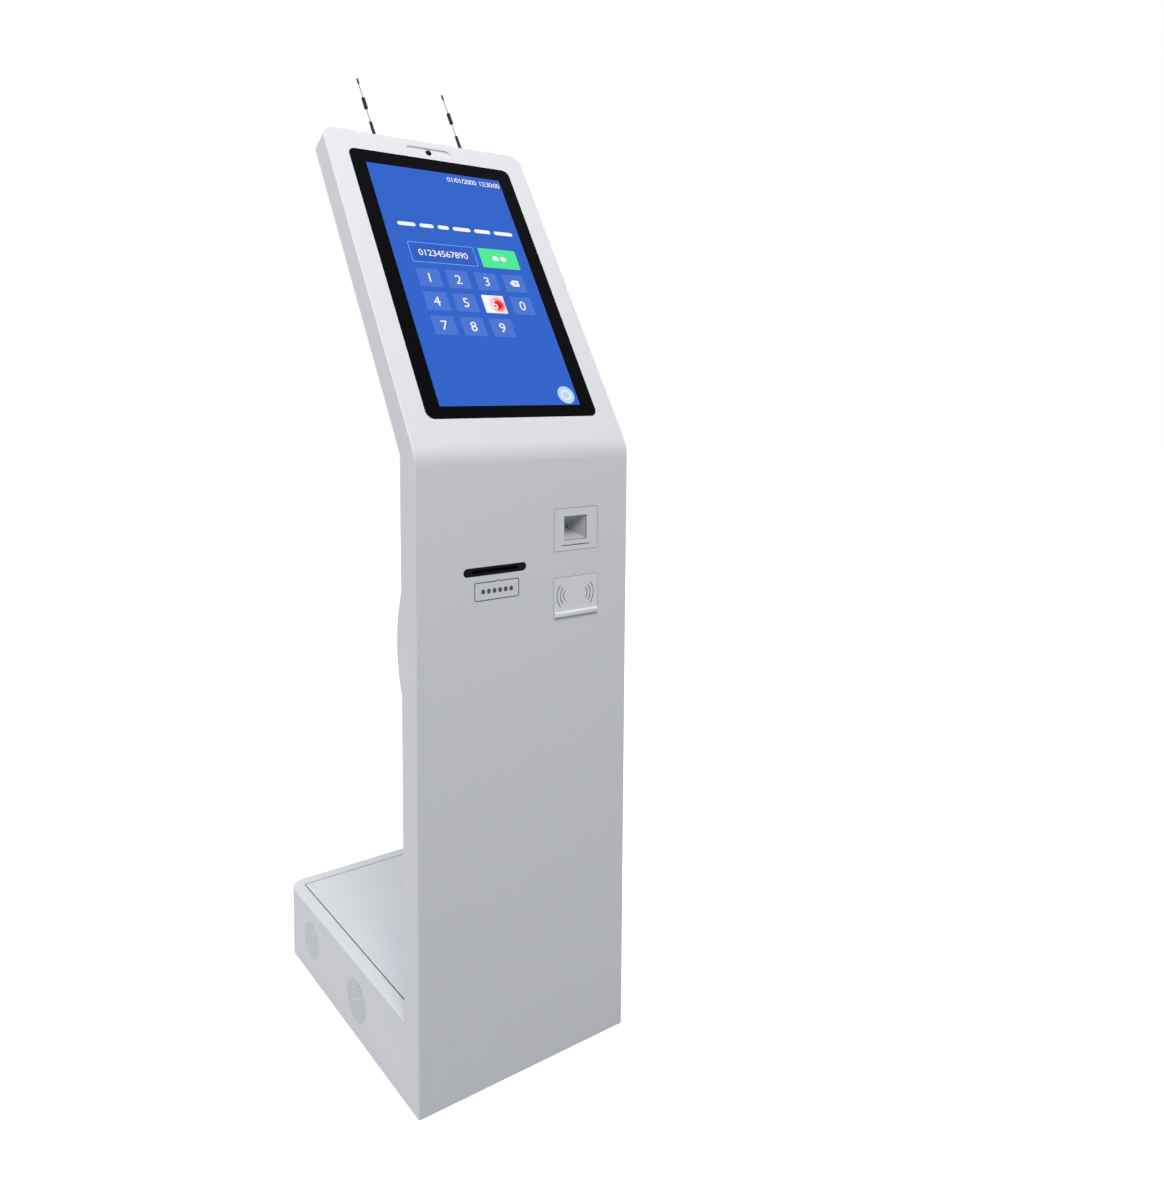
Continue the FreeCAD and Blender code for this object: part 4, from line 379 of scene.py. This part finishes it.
zinc_sheet = plated("zinc_sheet", light=(0.62, 0.63, 0.65), deep=(0.50, 0.51, 0.54), rough=0.38,
                    stretch=(1.0, 1.0, 12.0))
turned_steel = plated("turned_steel", light=(0.66, 0.67, 0.69), deep=(0.56, 0.57, 0.60), rough=0.26,
                      stretch=(14.0, 1.0, 1.0))
bright_whip = plated("bright_whip", light=(0.26, 0.26, 0.28), deep=(0.20, 0.20, 0.22), rough=0.34,
                     stretch=(1.0, 1.0, 9.0))
dark_anodised = plated("dark_anodised", light=(0.21, 0.22, 0.24), deep=(0.17, 0.18, 0.20), rough=0.42,
                       stretch=(16.0, 1.0, 1.0))
paint(zinc_sheet, ("cover_screws", "base_plate", "display_brackets", "display_tray", "printer_shelf",
                   "printer_frame", "printer_cover", "roll_bracket", "lock_body", "lock_core"))
paint(turned_steel, ("door_hinge_pin", "platen_shaft", "motor_pinion", "motor", "cutter_blade"))
paint(bright_whip, ("antenna_whips",))
paint(dark_anodised, ("computer", "power_supply", "thermal_head"))


# Circuit boards: glass-fibre board with a regular net of raised tracks under a green solder mask.
# The mask has a wet gloss, and is paler where it lies over a track.
BOARD_GREEN = (0.030, 0.150, 0.070)
TRACK_GREEN = (0.055, 0.230, 0.105)
TRACK_SCALE = 260.0
TRACK_WIDTH = 0.03
MASK_PATCHES = 40.0
MASK_ROUGHNESS = (0.24, 0.34)
MASK_RELIEF = (0.3, 0.00005)


def circuit_board():
    material, tree, shader, place = new_material("circuit_board")
    tracks = tree.nodes.new("ShaderNodeTexBrick")
    tracks.inputs["Scale"].default_value = TRACK_SCALE
    tracks.inputs["Mortar Size"].default_value = TRACK_WIDTH
    tree.links.new(place, tracks.inputs["Vector"])
    node_input(shader, "Base Color", blend_colours(tree, tracks.outputs["Fac"], BOARD_GREEN, TRACK_GREEN))
    node_input(shader, "Roughness", between(tree, noise(tree, place, MASK_PATCHES), *MASK_ROUGHNESS))
    bump(tree, shader, tracks.outputs["Fac"], *MASK_RELIEF)
    return material


paint(circuit_board(), ("control_board", "printer_board", "display_board"))


# Rubber: the ground roller that pulls the paper, pressed on its shaft, and the feet under the base plate.
# It is matt black with a fine grain, and greyer where the grain stands up.
RUBBER_BLACK = (0.018, 0.018, 0.018)
RUBBER_GREY = (0.035, 0.035, 0.036)
RUBBER_GRAIN = 1800.0
RUBBER_ROUGHNESS = (0.68, 0.82)
RUBBER_SPECULAR = 0.25
RUBBER_RELIEF = (0.25, 0.0001)


def rubber():
    material, tree, shader, place = new_material("black_rubber")
    grain = noise(tree, place, RUBBER_GRAIN)
    node_input(shader, "Base Color", blend_colours(tree, grain, RUBBER_BLACK, RUBBER_GREY))
    node_input(shader, "Roughness", between(tree, grain, *RUBBER_ROUGHNESS))
    node_input(shader, "Specular IOR Level", RUBBER_SPECULAR)
    bump(tree, shader, grain, *RUBBER_RELIEF)
    return material


paint(rubber(), ("platen_roller", "foot_pads"))


# Paper roll: thermal paper wound on a core and hung on the spindle.
# Its ends show the edges of the turns as fine rings about the spindle.
RING_SCALE = 320.0
RING_WAVER = 0.4
PAPER_SHADED = (0.80, 0.80, 0.77)
PAPER_WHITE = (0.90, 0.90, 0.88)
PAPER_PATCHES = 300.0
PAPER_ROUGHNESS = (0.70, 0.82)
PAPER_RELIEF = (0.15, 0.0001)


def wound_paper():
    material, tree, shader, place = new_material("wound_paper")
    low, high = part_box("paper_roll")
    middle = (low + high) / 2
    rings = tree.nodes.new("ShaderNodeTexWave")
    rings.wave_type = "RINGS"
    rings.rings_direction = "X"
    rings.inputs["Scale"].default_value = RING_SCALE
    rings.inputs["Distortion"].default_value = RING_WAVER
    tree.links.new(moved(tree, place, shift=-middle), rings.inputs["Vector"])
    edge = rings.outputs["Fac"]
    node_input(shader, "Base Color", blend_colours(tree, edge, PAPER_SHADED, PAPER_WHITE))
    node_input(shader, "Roughness", between(tree, noise(tree, place, PAPER_PATCHES), *PAPER_ROUGHNESS))
    bump(tree, shader, edge, *PAPER_RELIEF)
    return material


paint(wound_paper(), ("paper_roll",))


# Touch glass and display: toughened glass, printed black behind its border, over the dark face of the panel.
# It is optically bonded, so what is not lit looks one even black, with the room's faint reflection on it.
# The camera's front is glass of the same kind.
SMEAR_SCALE = 6.0
SMEAR_DETAIL = 3.0
SMEAR_LIGHTER = 1.3
SMEAR_DULLER = 0.05
GLASS_SPECULAR = 0.03


def black_glass(name, colour, rough):
    material, tree, shader, place = new_material(name)
    smear = noise(tree, place, SMEAR_SCALE, SMEAR_DETAIL)
    lighter = tuple(c * SMEAR_LIGHTER for c in colour)
    node_input(shader, "Base Color", blend_colours(tree, smear, colour, lighter))
    node_input(shader, "Roughness", between(tree, smear, rough, rough + SMEAR_DULLER))
    node_input(shader, "Specular IOR Level", GLASS_SPECULAR)
    return material


paint(black_glass("printed_glass", colour=(0.0014, 0.0016, 0.0024), rough=0.10), ("touch_glass",))
paint(black_glass("panel_case", colour=(0.02, 0.02, 0.024), rough=0.30), ("display_panel",))
paint(black_glass("lens_glass", colour=(0.006, 0.007, 0.010), rough=0.06), ("camera_module",))


# Speaker: a black basket with a pressed paper cone, held behind the front round grille of the base.
# It is seen only through the holes or with the lid off.
speaker_cone = moulded("speaker_cone", light=(0.030, 0.030, 0.032), deep=(0.018, 0.018, 0.020), rough=0.65,
                       grain=420.0, specular=0.2)
paint(speaker_cone, ("speaker",))


# Lit picture on the screen: a blue ground with flat blocks on it, as the display shows it through the glass.
# It is shown as thin films lying on the glass. x runs across the head and s up its face from the fold.
LEAN = math.radians(31.0)
FOLD_HEIGHT = 1.107
COLUMN_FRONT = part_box("front_panel")[0].y
FILM = 0.00012
GROUND_LIFT = 0.00002
CORNER_STEPS = 6
SCREEN_LEFT = -0.148
SCREEN_RIGHT = 0.146
SCREEN_LOW = 0.0895
SCREEN_HIGH = 0.612
SCREEN_CORNER = 0.0008
SCREEN_BLUE = (0.029, 0.125, 0.585)
UNLIT_BLACK = (0.004, 0.004, 0.006)
FILM_ROUGHNESS = 0.12
GLOW_PATCHES = 5.0
GLOW_SPREAD = 0.015
FALLOFF_FULL = 0.75


def lit(name, colour, falloff=None):
    """A film that shines with its own colour: a lit part of the picture, under the glass's own gloss.
    Where falloff is (x, y, z, radius, centre colour), the colour turns to that of the centre towards it."""
    material, tree, shader, place = new_material(name)
    node_input(shader, "Base Color", (*UNLIT_BLACK, 1))
    node_input(shader, "Roughness", FILM_ROUGHNESS)
    node_input(shader, "Specular IOR Level", GLASS_SPECULAR)
    node_input(shader, "Emission Strength", 1.0)
    dimmer = tuple(c * (1 - GLOW_SPREAD) for c in colour)
    brighter = tuple(min(1.0, c * (1 + GLOW_SPREAD)) for c in colour)
    glow = blend_colours(tree, noise(tree, place, GLOW_PATCHES), dimmer, brighter)
    if falloff is not None:
        x, y, z, radius, centre = falloff
        shift = (-x / radius, -y / radius, -z / radius)
        ball = tree.nodes.new("ShaderNodeTexGradient")
        ball.gradient_type = "SPHERICAL"
        tree.links.new(moved(tree, place, shift, (1 / radius,) * 3), ball.inputs["Vector"])
        rise = between(tree, ball.outputs["Fac"], 0.0, 1.0, end=FALLOFF_FULL, easing="SMOOTHSTEP")
        glow = blend_colours(tree, rise, glow, centre)
    tree.links.new(glow, shader.inputs["Emission Color"])
    return material


def on_head(points, lift):
    """Places of (x, s) pairs on the head's face, lifted off it. Up the face is (0, sin, cos) of the lean, and
    out of it is (0, -cos, sin)."""
    x, s = points[:, 0], points[:, 1]
    y = COLUMN_FRONT + s * math.sin(LEAN) - lift * math.cos(LEAN)
    z = FOLD_HEIGHT + s * math.cos(LEAN) + lift * math.sin(LEAN)
    return np.column_stack([x, y, z])


def on_column(points, lift):
    """Places of (x, z) pairs on the column's front face, lifted off it towards -Y."""
    return np.column_stack([points[:, 0], np.full(len(points), COLUMN_FRONT - lift), points[:, 1]])


def rounded(x0, x1, s0, s1, radius):
    """Outline of a rounded rectangle, anticlockwise: each corner's centre plus radius times (cos, sin)."""
    turn = np.linspace(0, math.pi / 2, CORNER_STEPS)
    corners = [(x1 - radius, s1 - radius), (x0 + radius, s1 - radius), (x0 + radius, s0 + radius),
               (x1 - radius, s0 + radius)]
    parts = []
    for quarter, (cx, cs) in enumerate(corners):
        angle = turn + quarter * math.pi / 2
        parts.append(np.column_stack([cx + radius * np.cos(angle), cs + radius * np.sin(angle)]))
    return np.vstack(parts)


def add_piece(name, points, faces, material, body, slot_name):
    """A new piece made of points and faces, which rides on a body. slot_name is not used."""
    mesh = bpy.data.meshes.new(name)
    mesh.from_pydata(points.tolist(), [], faces)
    mesh.validate()
    mesh.materials.append(material)
    piece = bpy.data.objects.new(name, mesh)
    bpy.context.scene.collection.objects.link(piece)
    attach(piece, body)


def film(outlines, surface, low, high):
    """Closed flat plates, one for each outline: the outline at two lifts, two lids, and a wall between."""
    points, faces, start = [], [], 0
    for outline in outlines:
        count = len(outline)
        ring = np.arange(count)
        following = (ring + 1) % count
        points += [surface(outline, high), surface(outline, low)]
        faces.append((start + ring).tolist())
        faces.append((start + count + ring[::-1]).tolist())
        walls = np.column_stack([ring + count, following + count, following, ring]) + start
        faces += walls.tolist()
        start += 2 * count
    return np.vstack(points), faces


def ring_film(outer, inner, surface, low, high):
    """A closed flat frame between two outlines of the same count, joined point to point."""
    count = len(outer)
    a = np.arange(count)
    b = (a + 1) % count
    points = np.vstack([surface(outer, high), surface(inner, high), surface(outer, low), surface(inner, low)])
    top = np.column_stack([a, b, b + count, a + count])
    under = np.column_stack([a + 3 * count, b + 3 * count, b + 2 * count, a + 2 * count])
    outside = np.column_stack([a + 2 * count, b + 2 * count, b, a])
    inside = np.column_stack([a + count, b + count, b + 3 * count, a + 3 * count])
    return points, np.vstack([top, under, outside, inside]).tolist()


screen_outline = rounded(SCREEN_LEFT, SCREEN_RIGHT, SCREEN_LOW, SCREEN_HIGH, SCREEN_CORNER)
screen = film([screen_outline], on_head, GROUND_LIFT, FILM)
add_piece("screen_ground", *screen, lit("screen_blue", SCREEN_BLUE), "housing", "display")


# Key pad on the screen: four columns and three rows of pale blue keys with plain figures, all flat light.
# One key is white under a red touch mark. The fourth key of the first row takes back the last digit.
KEY_WIDTH = 0.047
KEY_HEIGHT = 0.0395
KEY_CORNER = 0.0015
KEY_COLUMNS = (-0.0890, -0.0290, 0.0325, 0.0950)
KEY_ROWS = (0.3545, 0.3035, 0.2520)
KEY_LABELS = (("1", "2", "3", ""), ("4", "5", "6", "0"), ("7", "8", "9", None))
KEY_BLUE = (0.070, 0.178, 0.645)
PRESSED = "6"
TOUCH_ASIDE = (0.008, -0.001)
TOUCH_RADIUS = 0.023
TOUCH_RED = (0.80, 0.006, 0.012)
SCREEN_WHITE = (0.93, 0.95, 1.0)
DIGIT_HEIGHT = 0.0205
CAPITAL_SHARE = 0.72
CURVE_STEPS = 4
key_outlines = []
key_digits = []
for row, labels in zip(KEY_ROWS, KEY_LABELS):
    for column, label in zip(KEY_COLUMNS, labels):
        outline = rounded(column - KEY_WIDTH / 2, column + KEY_WIDTH / 2, row - KEY_HEIGHT / 2,
                          row + KEY_HEIGHT / 2, KEY_CORNER)
        if label == PRESSED:
            pressed_outline = outline
            touch_place = np.array([(column, row)]) + TOUCH_ASIDE
        elif label is not None:
            key_outlines.append(outline)
        if label:
            key_digits.append((label, column, row))
add_piece("screen_keys", *film(key_outlines, on_head, FILM, 2 * FILM), lit("key_blue", KEY_BLUE), "housing",
          "display")
touch = on_head(touch_place, 2 * FILM)[0]
add_piece("screen_pressed_key", *film([pressed_outline], on_head, FILM, 2 * FILM),
          lit("pressed_white", SCREEN_WHITE, (*touch, TOUCH_RADIUS, TOUCH_RED)), "housing", "display")
white_light = lit("figure_white", SCREEN_WHITE)


def figures(name, entries, height, lift, spacing=1.0):
    """Plain figures as closed meshes. A text is drawn one film thick and its doubled edges are merged. Its
    middle goes to (across, up) on the head, and its own height above the page is added to lift."""
    points, faces, start = [], [], 0
    for text, across, up in entries:
        curve = bpy.data.curves.new(name, "FONT")
        curve.body = text
        curve.size = height / CAPITAL_SHARE
        curve.space_character = spacing
        curve.extrude = FILM / 2
        curve.resolution_u = CURVE_STEPS
        page = bpy.data.objects.new(name, curve)
        bpy.context.scene.collection.objects.link(page)
        mesh = bpy.data.meshes.new_from_object(page.evaluated_get(bpy.context.evaluated_depsgraph_get()))
        bpy.data.objects.remove(page)
        shell = bmesh.new()
        shell.from_mesh(mesh)
        bmesh.ops.remove_doubles(shell, verts=shell.verts, dist=FILM / 100)
        shell.to_mesh(mesh)
        shell.free()
        drawn = np.empty(len(mesh.vertices) * 3)
        mesh.vertices.foreach_get("co", drawn)
        drawn = drawn.reshape(-1, 3)
        flat = drawn[:, :2] - (drawn[:, :2].min(0) + drawn[:, :2].max(0)) / 2 + (across, up)
        points.append(on_head(flat, lift + FILM / 2 + drawn[:, 2]))
        faces += [[start + corner for corner in polygon.vertices] for polygon in mesh.polygons]
        start += len(drawn)
        bpy.data.meshes.remove(mesh)
    add_piece(name, np.vstack(points), faces, white_light, "housing", "display")


figures("screen_key_digits", key_digits, DIGIT_HEIGHT, 2 * FILM)


# Take-back key's mark: a white plate that narrows to a point at its left, with a small cross on it.
# Both are flat light, the plate on the key's own film and the cross, in the key's blue, on the plate.
BACK_MARK = 0.0095
BACK_ARROW = ((-1.15, 0), (-0.45, -0.72), (1.0, -0.72), (1.0, 0.72), (-0.45, 0.72))
CROSS_BAR = ((-0.36, -0.09), (0.36, -0.09), (0.36, 0.09), (-0.36, 0.09))
CROSS_ASIDE = 0.15
CROSS_TOP = 3.6 * FILM
back_place = np.array((KEY_COLUMNS[3], KEY_ROWS[0]))
back_arrow = np.array(BACK_ARROW) * BACK_MARK + back_place
add_piece("screen_back_mark", *film([back_arrow], on_head, 2 * FILM, 3 * FILM), white_light, "housing",
          "display")
crosses = []
for turn in (math.pi / 4, -math.pi / 4):
    spin = np.array([[math.cos(turn), math.sin(turn)], [-math.sin(turn), math.cos(turn)]])
    crosses.append(np.array(CROSS_BAR) * BACK_MARK @ spin + back_place + (CROSS_ASIDE * BACK_MARK, 0))
add_piece("screen_back_cross", *film(crosses, on_head, 3 * FILM, CROSS_TOP), lit("cross_blue", KEY_BLUE),
          "housing", "display")


# Number field, green key and clock: an outlined box with eleven plain figures, and the key that confirms it.
# The date and the time stand at the top of the screen. All of it is flat light.
FIELD_LEFT = -0.113
FIELD_RIGHT = 0.026
FIELD_LOW = 0.388
FIELD_HIGH = 0.433
FIELD_CORNER = 0.003
FIELD_TOP = 1.5 * FILM
FIELD_BLUE = (0.030, 0.110, 0.560)
FIELD_FIGURES = "01234567890"
FIELD_FIGURE_HEIGHT = 0.0143
FIELD_FIGURE_SPACING = 0.96
LINE = 0.0013
OUTLINE_BLUE = (0.16, 0.46, 0.90)
GREEN_LEFT = 0.0365
GREEN_RIGHT = 0.121
BUTTON_GREEN = (0.082, 0.820, 0.300)
CLOCK_UP = 0.5970
CLOCK_ENTRIES = (("01/01/2000", 0.0540, CLOCK_UP), ("12:30:00", 0.1190, CLOCK_UP))
CLOCK_HEIGHT = 0.0118
CLOCK_SPACING = 0.90
outer = rounded(FIELD_LEFT, FIELD_RIGHT, FIELD_LOW, FIELD_HIGH, FIELD_CORNER)
inner = rounded(FIELD_LEFT + LINE, FIELD_RIGHT - LINE, FIELD_LOW + LINE, FIELD_HIGH - LINE,
                FIELD_CORNER - LINE)
add_piece("screen_field", *film([inner], on_head, FILM, FIELD_TOP), lit("field_blue", FIELD_BLUE), "housing",
          "display")
add_piece("screen_field_line", *ring_film(outer, inner, on_head, FILM, 2 * FILM),
          lit("outline_blue", OUTLINE_BLUE), "housing", "display")
field_entry = (FIELD_FIGURES, (FIELD_LEFT + FIELD_RIGHT) / 2, (FIELD_LOW + FIELD_HIGH) / 2)
figures("screen_field_digits", [field_entry], FIELD_FIGURE_HEIGHT, FIELD_TOP, FIELD_FIGURE_SPACING)
green_outline = rounded(GREEN_LEFT, GREEN_RIGHT, FIELD_LOW, FIELD_HIGH, FIELD_CORNER)
add_piece("screen_green_key", *film([green_outline], on_head, FILM, 2 * FILM),
          lit("button_green_light", BUTTON_GREEN), "housing", "display")
figures("screen_clock", CLOCK_ENTRIES, CLOCK_HEIGHT, FILM, CLOCK_SPACING)


# Plain bars on the screen: a row of six above the number field, and two short ones on the green key.
# They are flat white light with round ends, made like the other blocks.
BAR_FLAT = 0.00005
PROMPT_LEFT = -0.121
PROMPT_UP = 0.4735
PROMPT_HEIGHT = 0.0085
PROMPT_GAP = 0.0086
PROMPT_LENGTHS = (0.037, 0.030, 0.024, 0.039, 0.036, 0.043)
GREEN_BAR_LEFT = 0.0635
GREEN_BAR_UP = 0.4105
GREEN_BAR_HEIGHT = 0.0105
GREEN_BAR_GAP = 0.0035
GREEN_BAR_LENGTHS = (0.014, 0.0135)


def bars(left, height, middle, lengths, gap):
    """A row of bars from left to right. Each corner's radius is half the bar's smaller side less BAR_FLAT."""
    outlines, x = [], left
    for length in lengths:
        radius = min(height, length) / 2 - BAR_FLAT
        outlines.append(rounded(x, x + length, middle - height / 2, middle + height / 2, radius))
        x += length + gap
    return outlines


prompt = bars(PROMPT_LEFT, PROMPT_HEIGHT, PROMPT_UP, PROMPT_LENGTHS, PROMPT_GAP)
add_piece("screen_prompt_bars", *film(prompt, on_head, FILM, 2 * FILM), white_light, "housing", "display")
green_bars = bars(GREEN_BAR_LEFT, GREEN_BAR_HEIGHT, GREEN_BAR_UP, GREEN_BAR_LENGTHS, GREEN_BAR_GAP)
add_piece("screen_green_bars", *film(green_bars, on_head, 2 * FILM, 3 * FILM), white_light, "housing",
          "display")


# Round mark in the screen's bottom corner: a pale blue disc with a thin white ring on it.
# Both are flat light, the ring one film above the disc.
ICON_X = 0.122
ICON_S = 0.110
ICON_RADIUS = 0.018
ICON_BLUE = (0.50, 0.68, 0.97)
ICON_RING_OUTER = 0.0105
ICON_RING_INNER = 0.0080
DISC_STEPS = 48


def disc(radius):
    """Outline of a circle on the mark's centre: the centre plus radius times (cos, sin), in even steps."""
    angle = np.arange(DISC_STEPS) * 2 * math.pi / DISC_STEPS
    return np.column_stack([ICON_X + radius * np.cos(angle), ICON_S + radius * np.sin(angle)])


add_piece("screen_corner_disc", *film([disc(ICON_RADIUS)], on_head, FILM, 2 * FILM),
          lit("icon_blue", ICON_BLUE), "housing", "display")
mark = ring_film(disc(ICON_RING_OUTER), disc(ICON_RING_INNER), on_head, 2 * FILM, 3 * FILM)
add_piece("screen_corner_ring", *mark, white_light, "housing", "display")


# Label below the ticket slot: an outline in the shape of a ticket, with a small point on its top edge.
# It is printed in black on the column's coat, with a row of six short bars inside it.
LABEL_LEFT = -0.110
LABEL_RIGHT = -0.020
LABEL_LOW = 0.860
LABEL_HIGH = 0.892
LABEL_CORNER = 0.004
LABEL_LINE = 0.0016
LABEL_BARS_LEFT = -0.0965
LABEL_BARS_UP = 0.8755
LABEL_BARS_HEIGHT = 0.0085
LABEL_BARS_GAP = 0.0038
LABEL_BARS_LENGTHS = (0.0075,) * 6
POINT_ASIDE = 0.002
POINT_HALF = 0.0028
POINT_RISE = 0.9
PRINT = 0.0001
INK_AND_SHADOW_BLACK = (0.050, 0.052, 0.062)
INK_PALER = 1.35
INK_GRAIN = 700.0
INK_ROUGHNESS = (0.50, 0.62)


def printed_ink_and_shadow():
    material, tree, shader, place = new_material("printed_ink_and_shadow")
    spread = noise(tree, place, INK_GRAIN)
    node_input(shader, "Base Color", blend_colours(tree, spread, INK_AND_SHADOW_BLACK, tuple(c * INK_PALER for c in INK_AND_SHADOW_BLACK)))
    node_input(shader, "Roughness", between(tree, spread, *INK_ROUGHNESS))
    return material


def ticket_outline(inset):
    """The label's outline, its top edge broken by a point that rises by POINT_RISE of its half width."""
    top = LABEL_HIGH - inset
    outline = rounded(LABEL_LEFT + inset, LABEL_RIGHT - inset, LABEL_LOW + inset, top, LABEL_CORNER - inset)
    middle = (LABEL_LEFT + LABEL_RIGHT) / 2 + POINT_ASIDE
    point = np.array([(middle + POINT_HALF, top), (middle, top + POINT_HALF * POINT_RISE),
                      (middle - POINT_HALF, top)])
    return np.vstack([outline[:CORNER_STEPS], point, outline[CORNER_STEPS:]])


# This dark material is real print on the label and the card plate, and painted shadow in the scanner's slit.
ink_and_shadow = printed_ink_and_shadow()
label = ring_film(ticket_outline(0), ticket_outline(LABEL_LINE), on_column, 0, PRINT)
add_piece("ticket_label_outline", *label, ink_and_shadow, "housing", "black_plastic")
label_bars = bars(LABEL_BARS_LEFT, LABEL_BARS_HEIGHT, LABEL_BARS_UP, LABEL_BARS_LENGTHS, LABEL_BARS_GAP)
add_piece("ticket_label_bars", *film(label_bars, on_column, 0, PRINT), ink_and_shadow, "housing", "black_plastic")


# Contactless mark on the card plate: three thin arcs at each side, bowed outwards like waves leaving a card.
# They are printed on the plate's face, which stands a little proud of the column.
ARC_LINE = 0.0015
ARC_CENTRE_Z = 0.8485
ARC_SETS = ((0.0880, math.pi), (0.1150, 0.0))
ARC_RADII = (0.0127, 0.0198, 0.0273)
ARC_HALF_TURN = math.radians(45)
ARC_STEPS = 20
CARD_PROUD = 0.0004


def arc_band(x, radius, middle):
    """A thin band along an arc: two radii half a line each side of it, out and back."""
    angle = np.linspace(middle - ARC_HALF_TURN, middle + ARC_HALF_TURN, ARC_STEPS)
    far, near = radius + ARC_LINE / 2, radius - ARC_LINE / 2
    out = np.column_stack([x + far * np.cos(angle), ARC_CENTRE_Z + far * np.sin(angle)])
    back = np.column_stack([x + near * np.cos(angle[::-1]), ARC_CENTRE_Z + near * np.sin(angle[::-1])])
    return np.vstack([out, back])


arcs = [arc_band(x, radius, middle) for x, middle in ARC_SETS for radius in ARC_RADII]
add_piece("card_plate_waves", *film(arcs, on_column, CARD_PROUD, CARD_PROUD + PRINT), ink_and_shadow, "housing",
          "black_plastic")


# Code scanner: a moulded bezel with a funnel, the reader's face at its end, and a thin film of painted shadow
# in the groove below it.
# The funnel is painted with shade that deepens inwards: a dark band near the mouth, grey walls and a darker
# end. The lens is a small black dot.
SCANNER_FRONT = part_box("scanner_bezel")[0].y
FUNNEL_DEPTH = 0.027
FUNNEL_FACE = (0.805, 0.818, 0.843)
FUNNEL_MOUTH_SHADE = (0.12, 0.125, 0.14)
FUNNEL_WALL_SHADE = (0.50, 0.51, 0.535)
FUNNEL_END_SHADE = (0.40, 0.41, 0.435)
# The tones after the face's own are painted shade, darker deeper into the funnel.
FUNNEL_SHADE_TONES = ((0.0, FUNNEL_FACE), (0.012, FUNNEL_FACE), (0.030, FUNNEL_MOUTH_SHADE), (0.060, FUNNEL_MOUTH_SHADE),
                (0.090, FUNNEL_WALL_SHADE), (1.0, FUNNEL_END_SHADE))
FUNNEL_GRAIN = 900.0
FUNNEL_ROUGHNESS = (0.38, 0.50)
LENS = (0.1025, 0.9662)
LENS_RADIUS = 0.0030
LENS_BLACK = (0.004, 0.004, 0.006)
READER_GREY = (0.33, 0.34, 0.36)
READER_GRAIN = 500.0
READER_ROUGHNESS = (0.34, 0.46)
SLIT_SHADOW = (0.0725, 0.1325, 0.9368, 0.9384)
SLIT_SHADOW_CORNER = 0.0006


def funnel_plastic_with_painted_shade():
    """Moulded plastic with painted shade: its tone darkens with how deep a place lies in the funnel, as a
    share of its depth.
    """
    material, tree, shader, place = new_material("scanner_funnel")
    depth = between(tree, axes(tree, place)[1], 0.0, 1.0, SCANNER_FRONT, SCANNER_FRONT + FUNNEL_DEPTH)
    ramp = tree.nodes.new("ShaderNodeValToRGB")
    stops = ramp.color_ramp.elements
    while len(stops) < len(FUNNEL_SHADE_TONES):
        stops.new(1.0)
    for stop, (share, colour) in zip(stops, FUNNEL_SHADE_TONES):
        stop.position = share
        stop.color = (*colour, 1)
    tree.links.new(depth, ramp.inputs["Fac"])
    node_input(shader, "Base Color", ramp.outputs["Color"])
    grain = noise(tree, place, FUNNEL_GRAIN, MOULD_DETAIL)
    node_input(shader, "Roughness", between(tree, grain, *FUNNEL_ROUGHNESS))
    bump(tree, shader, grain, *MOULD_RELIEF)
    return material


def reader_face():
    """Grey plastic with a black disc, where the distance to the lens in the face is less than its radius."""
    material, tree, shader, place = new_material("reader_face")
    split = axes(tree, place)
    across = calculate(tree, "SUBTRACT", split[0], LENS[0])
    up = calculate(tree, "SUBTRACT", split[2], LENS[1])
    across_squared = calculate(tree, "MULTIPLY", across, across)
    up_squared = calculate(tree, "MULTIPLY", up, up)
    distance = calculate(tree, "SQRT", calculate(tree, "ADD", across_squared, up_squared))
    inside = calculate(tree, "LESS_THAN", distance, LENS_RADIUS)
    node_input(shader, "Base Color", blend_colours(tree, inside, READER_GREY, LENS_BLACK))
    node_input(shader, "Roughness", between(tree, noise(tree, place, READER_GRAIN), *READER_ROUGHNESS))
    return material


paint(funnel_plastic_with_painted_shade(), ("scanner_bezel",))
paint(reader_face(), ("scanner_module",))
scanner_proud = COLUMN_FRONT - SCANNER_FRONT
# The slit is a thin dark film of painted shadow, lying on the bezel's face over its groove.
slit_shadow = film([rounded(*SLIT_SHADOW, SLIT_SHADOW_CORNER)], on_column, scanner_proud, scanner_proud + PRINT)
add_piece("scanner_slit_shadow", *slit_shadow, ink_and_shadow, "housing", "black_plastic")


# Gap shade: soft grey frames of painted shade on the panel, round the two pale plates set in it.
# Each is a flat frame round its plate's outline, a quarter of a millimetre high. A plate's own lip reaches
# further out, out of sight behind the panel.
HIDDEN_LIP = 0.005
PLATE_CORNER = 0.0020
GAP_SHADE_WIDTH = 0.0012
GAP_SHADE_HEIGHT = 0.00025
GAP_SHADE_GREY = (0.40, 0.41, 0.435)
GAP_SHADE_PALER = 1.12
GAP_SHADE_GRAIN = 1500.0
GAP_SHADE_ROUGHNESS = (0.60, 0.74)


def gap_shade_film():
    material, tree, shader, place = new_material("grey_bead")
    grain = noise(tree, place, GAP_SHADE_GRAIN)
    paler = tuple(c * GAP_SHADE_PALER for c in GAP_SHADE_GREY)
    node_input(shader, "Base Color", blend_colours(tree, grain, GAP_SHADE_GREY, paler))
    node_input(shader, "Roughness", between(tree, grain, *GAP_SHADE_ROUGHNESS))
    return material


grey_bead = gap_shade_film()
for plate in ("scanner_bezel", "card_plate"):
    low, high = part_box(plate)
    outlines = []
    for width in (GAP_SHADE_WIDTH, 0):
        reach = width - HIDDEN_LIP
        outlines.append(rounded(low.x - reach, high.x + reach, low.z - reach, high.z + reach,
                                PLATE_CORNER + width))
    # Each frame is painted shade of the gap round its plate, a thin grey film lying on the panel.
    shade_frame = ring_film(*outlines, on_column, 0, GAP_SHADE_HEIGHT)
    add_piece(plate + "_bead", *shade_frame, grey_bead, "housing", "rubber")
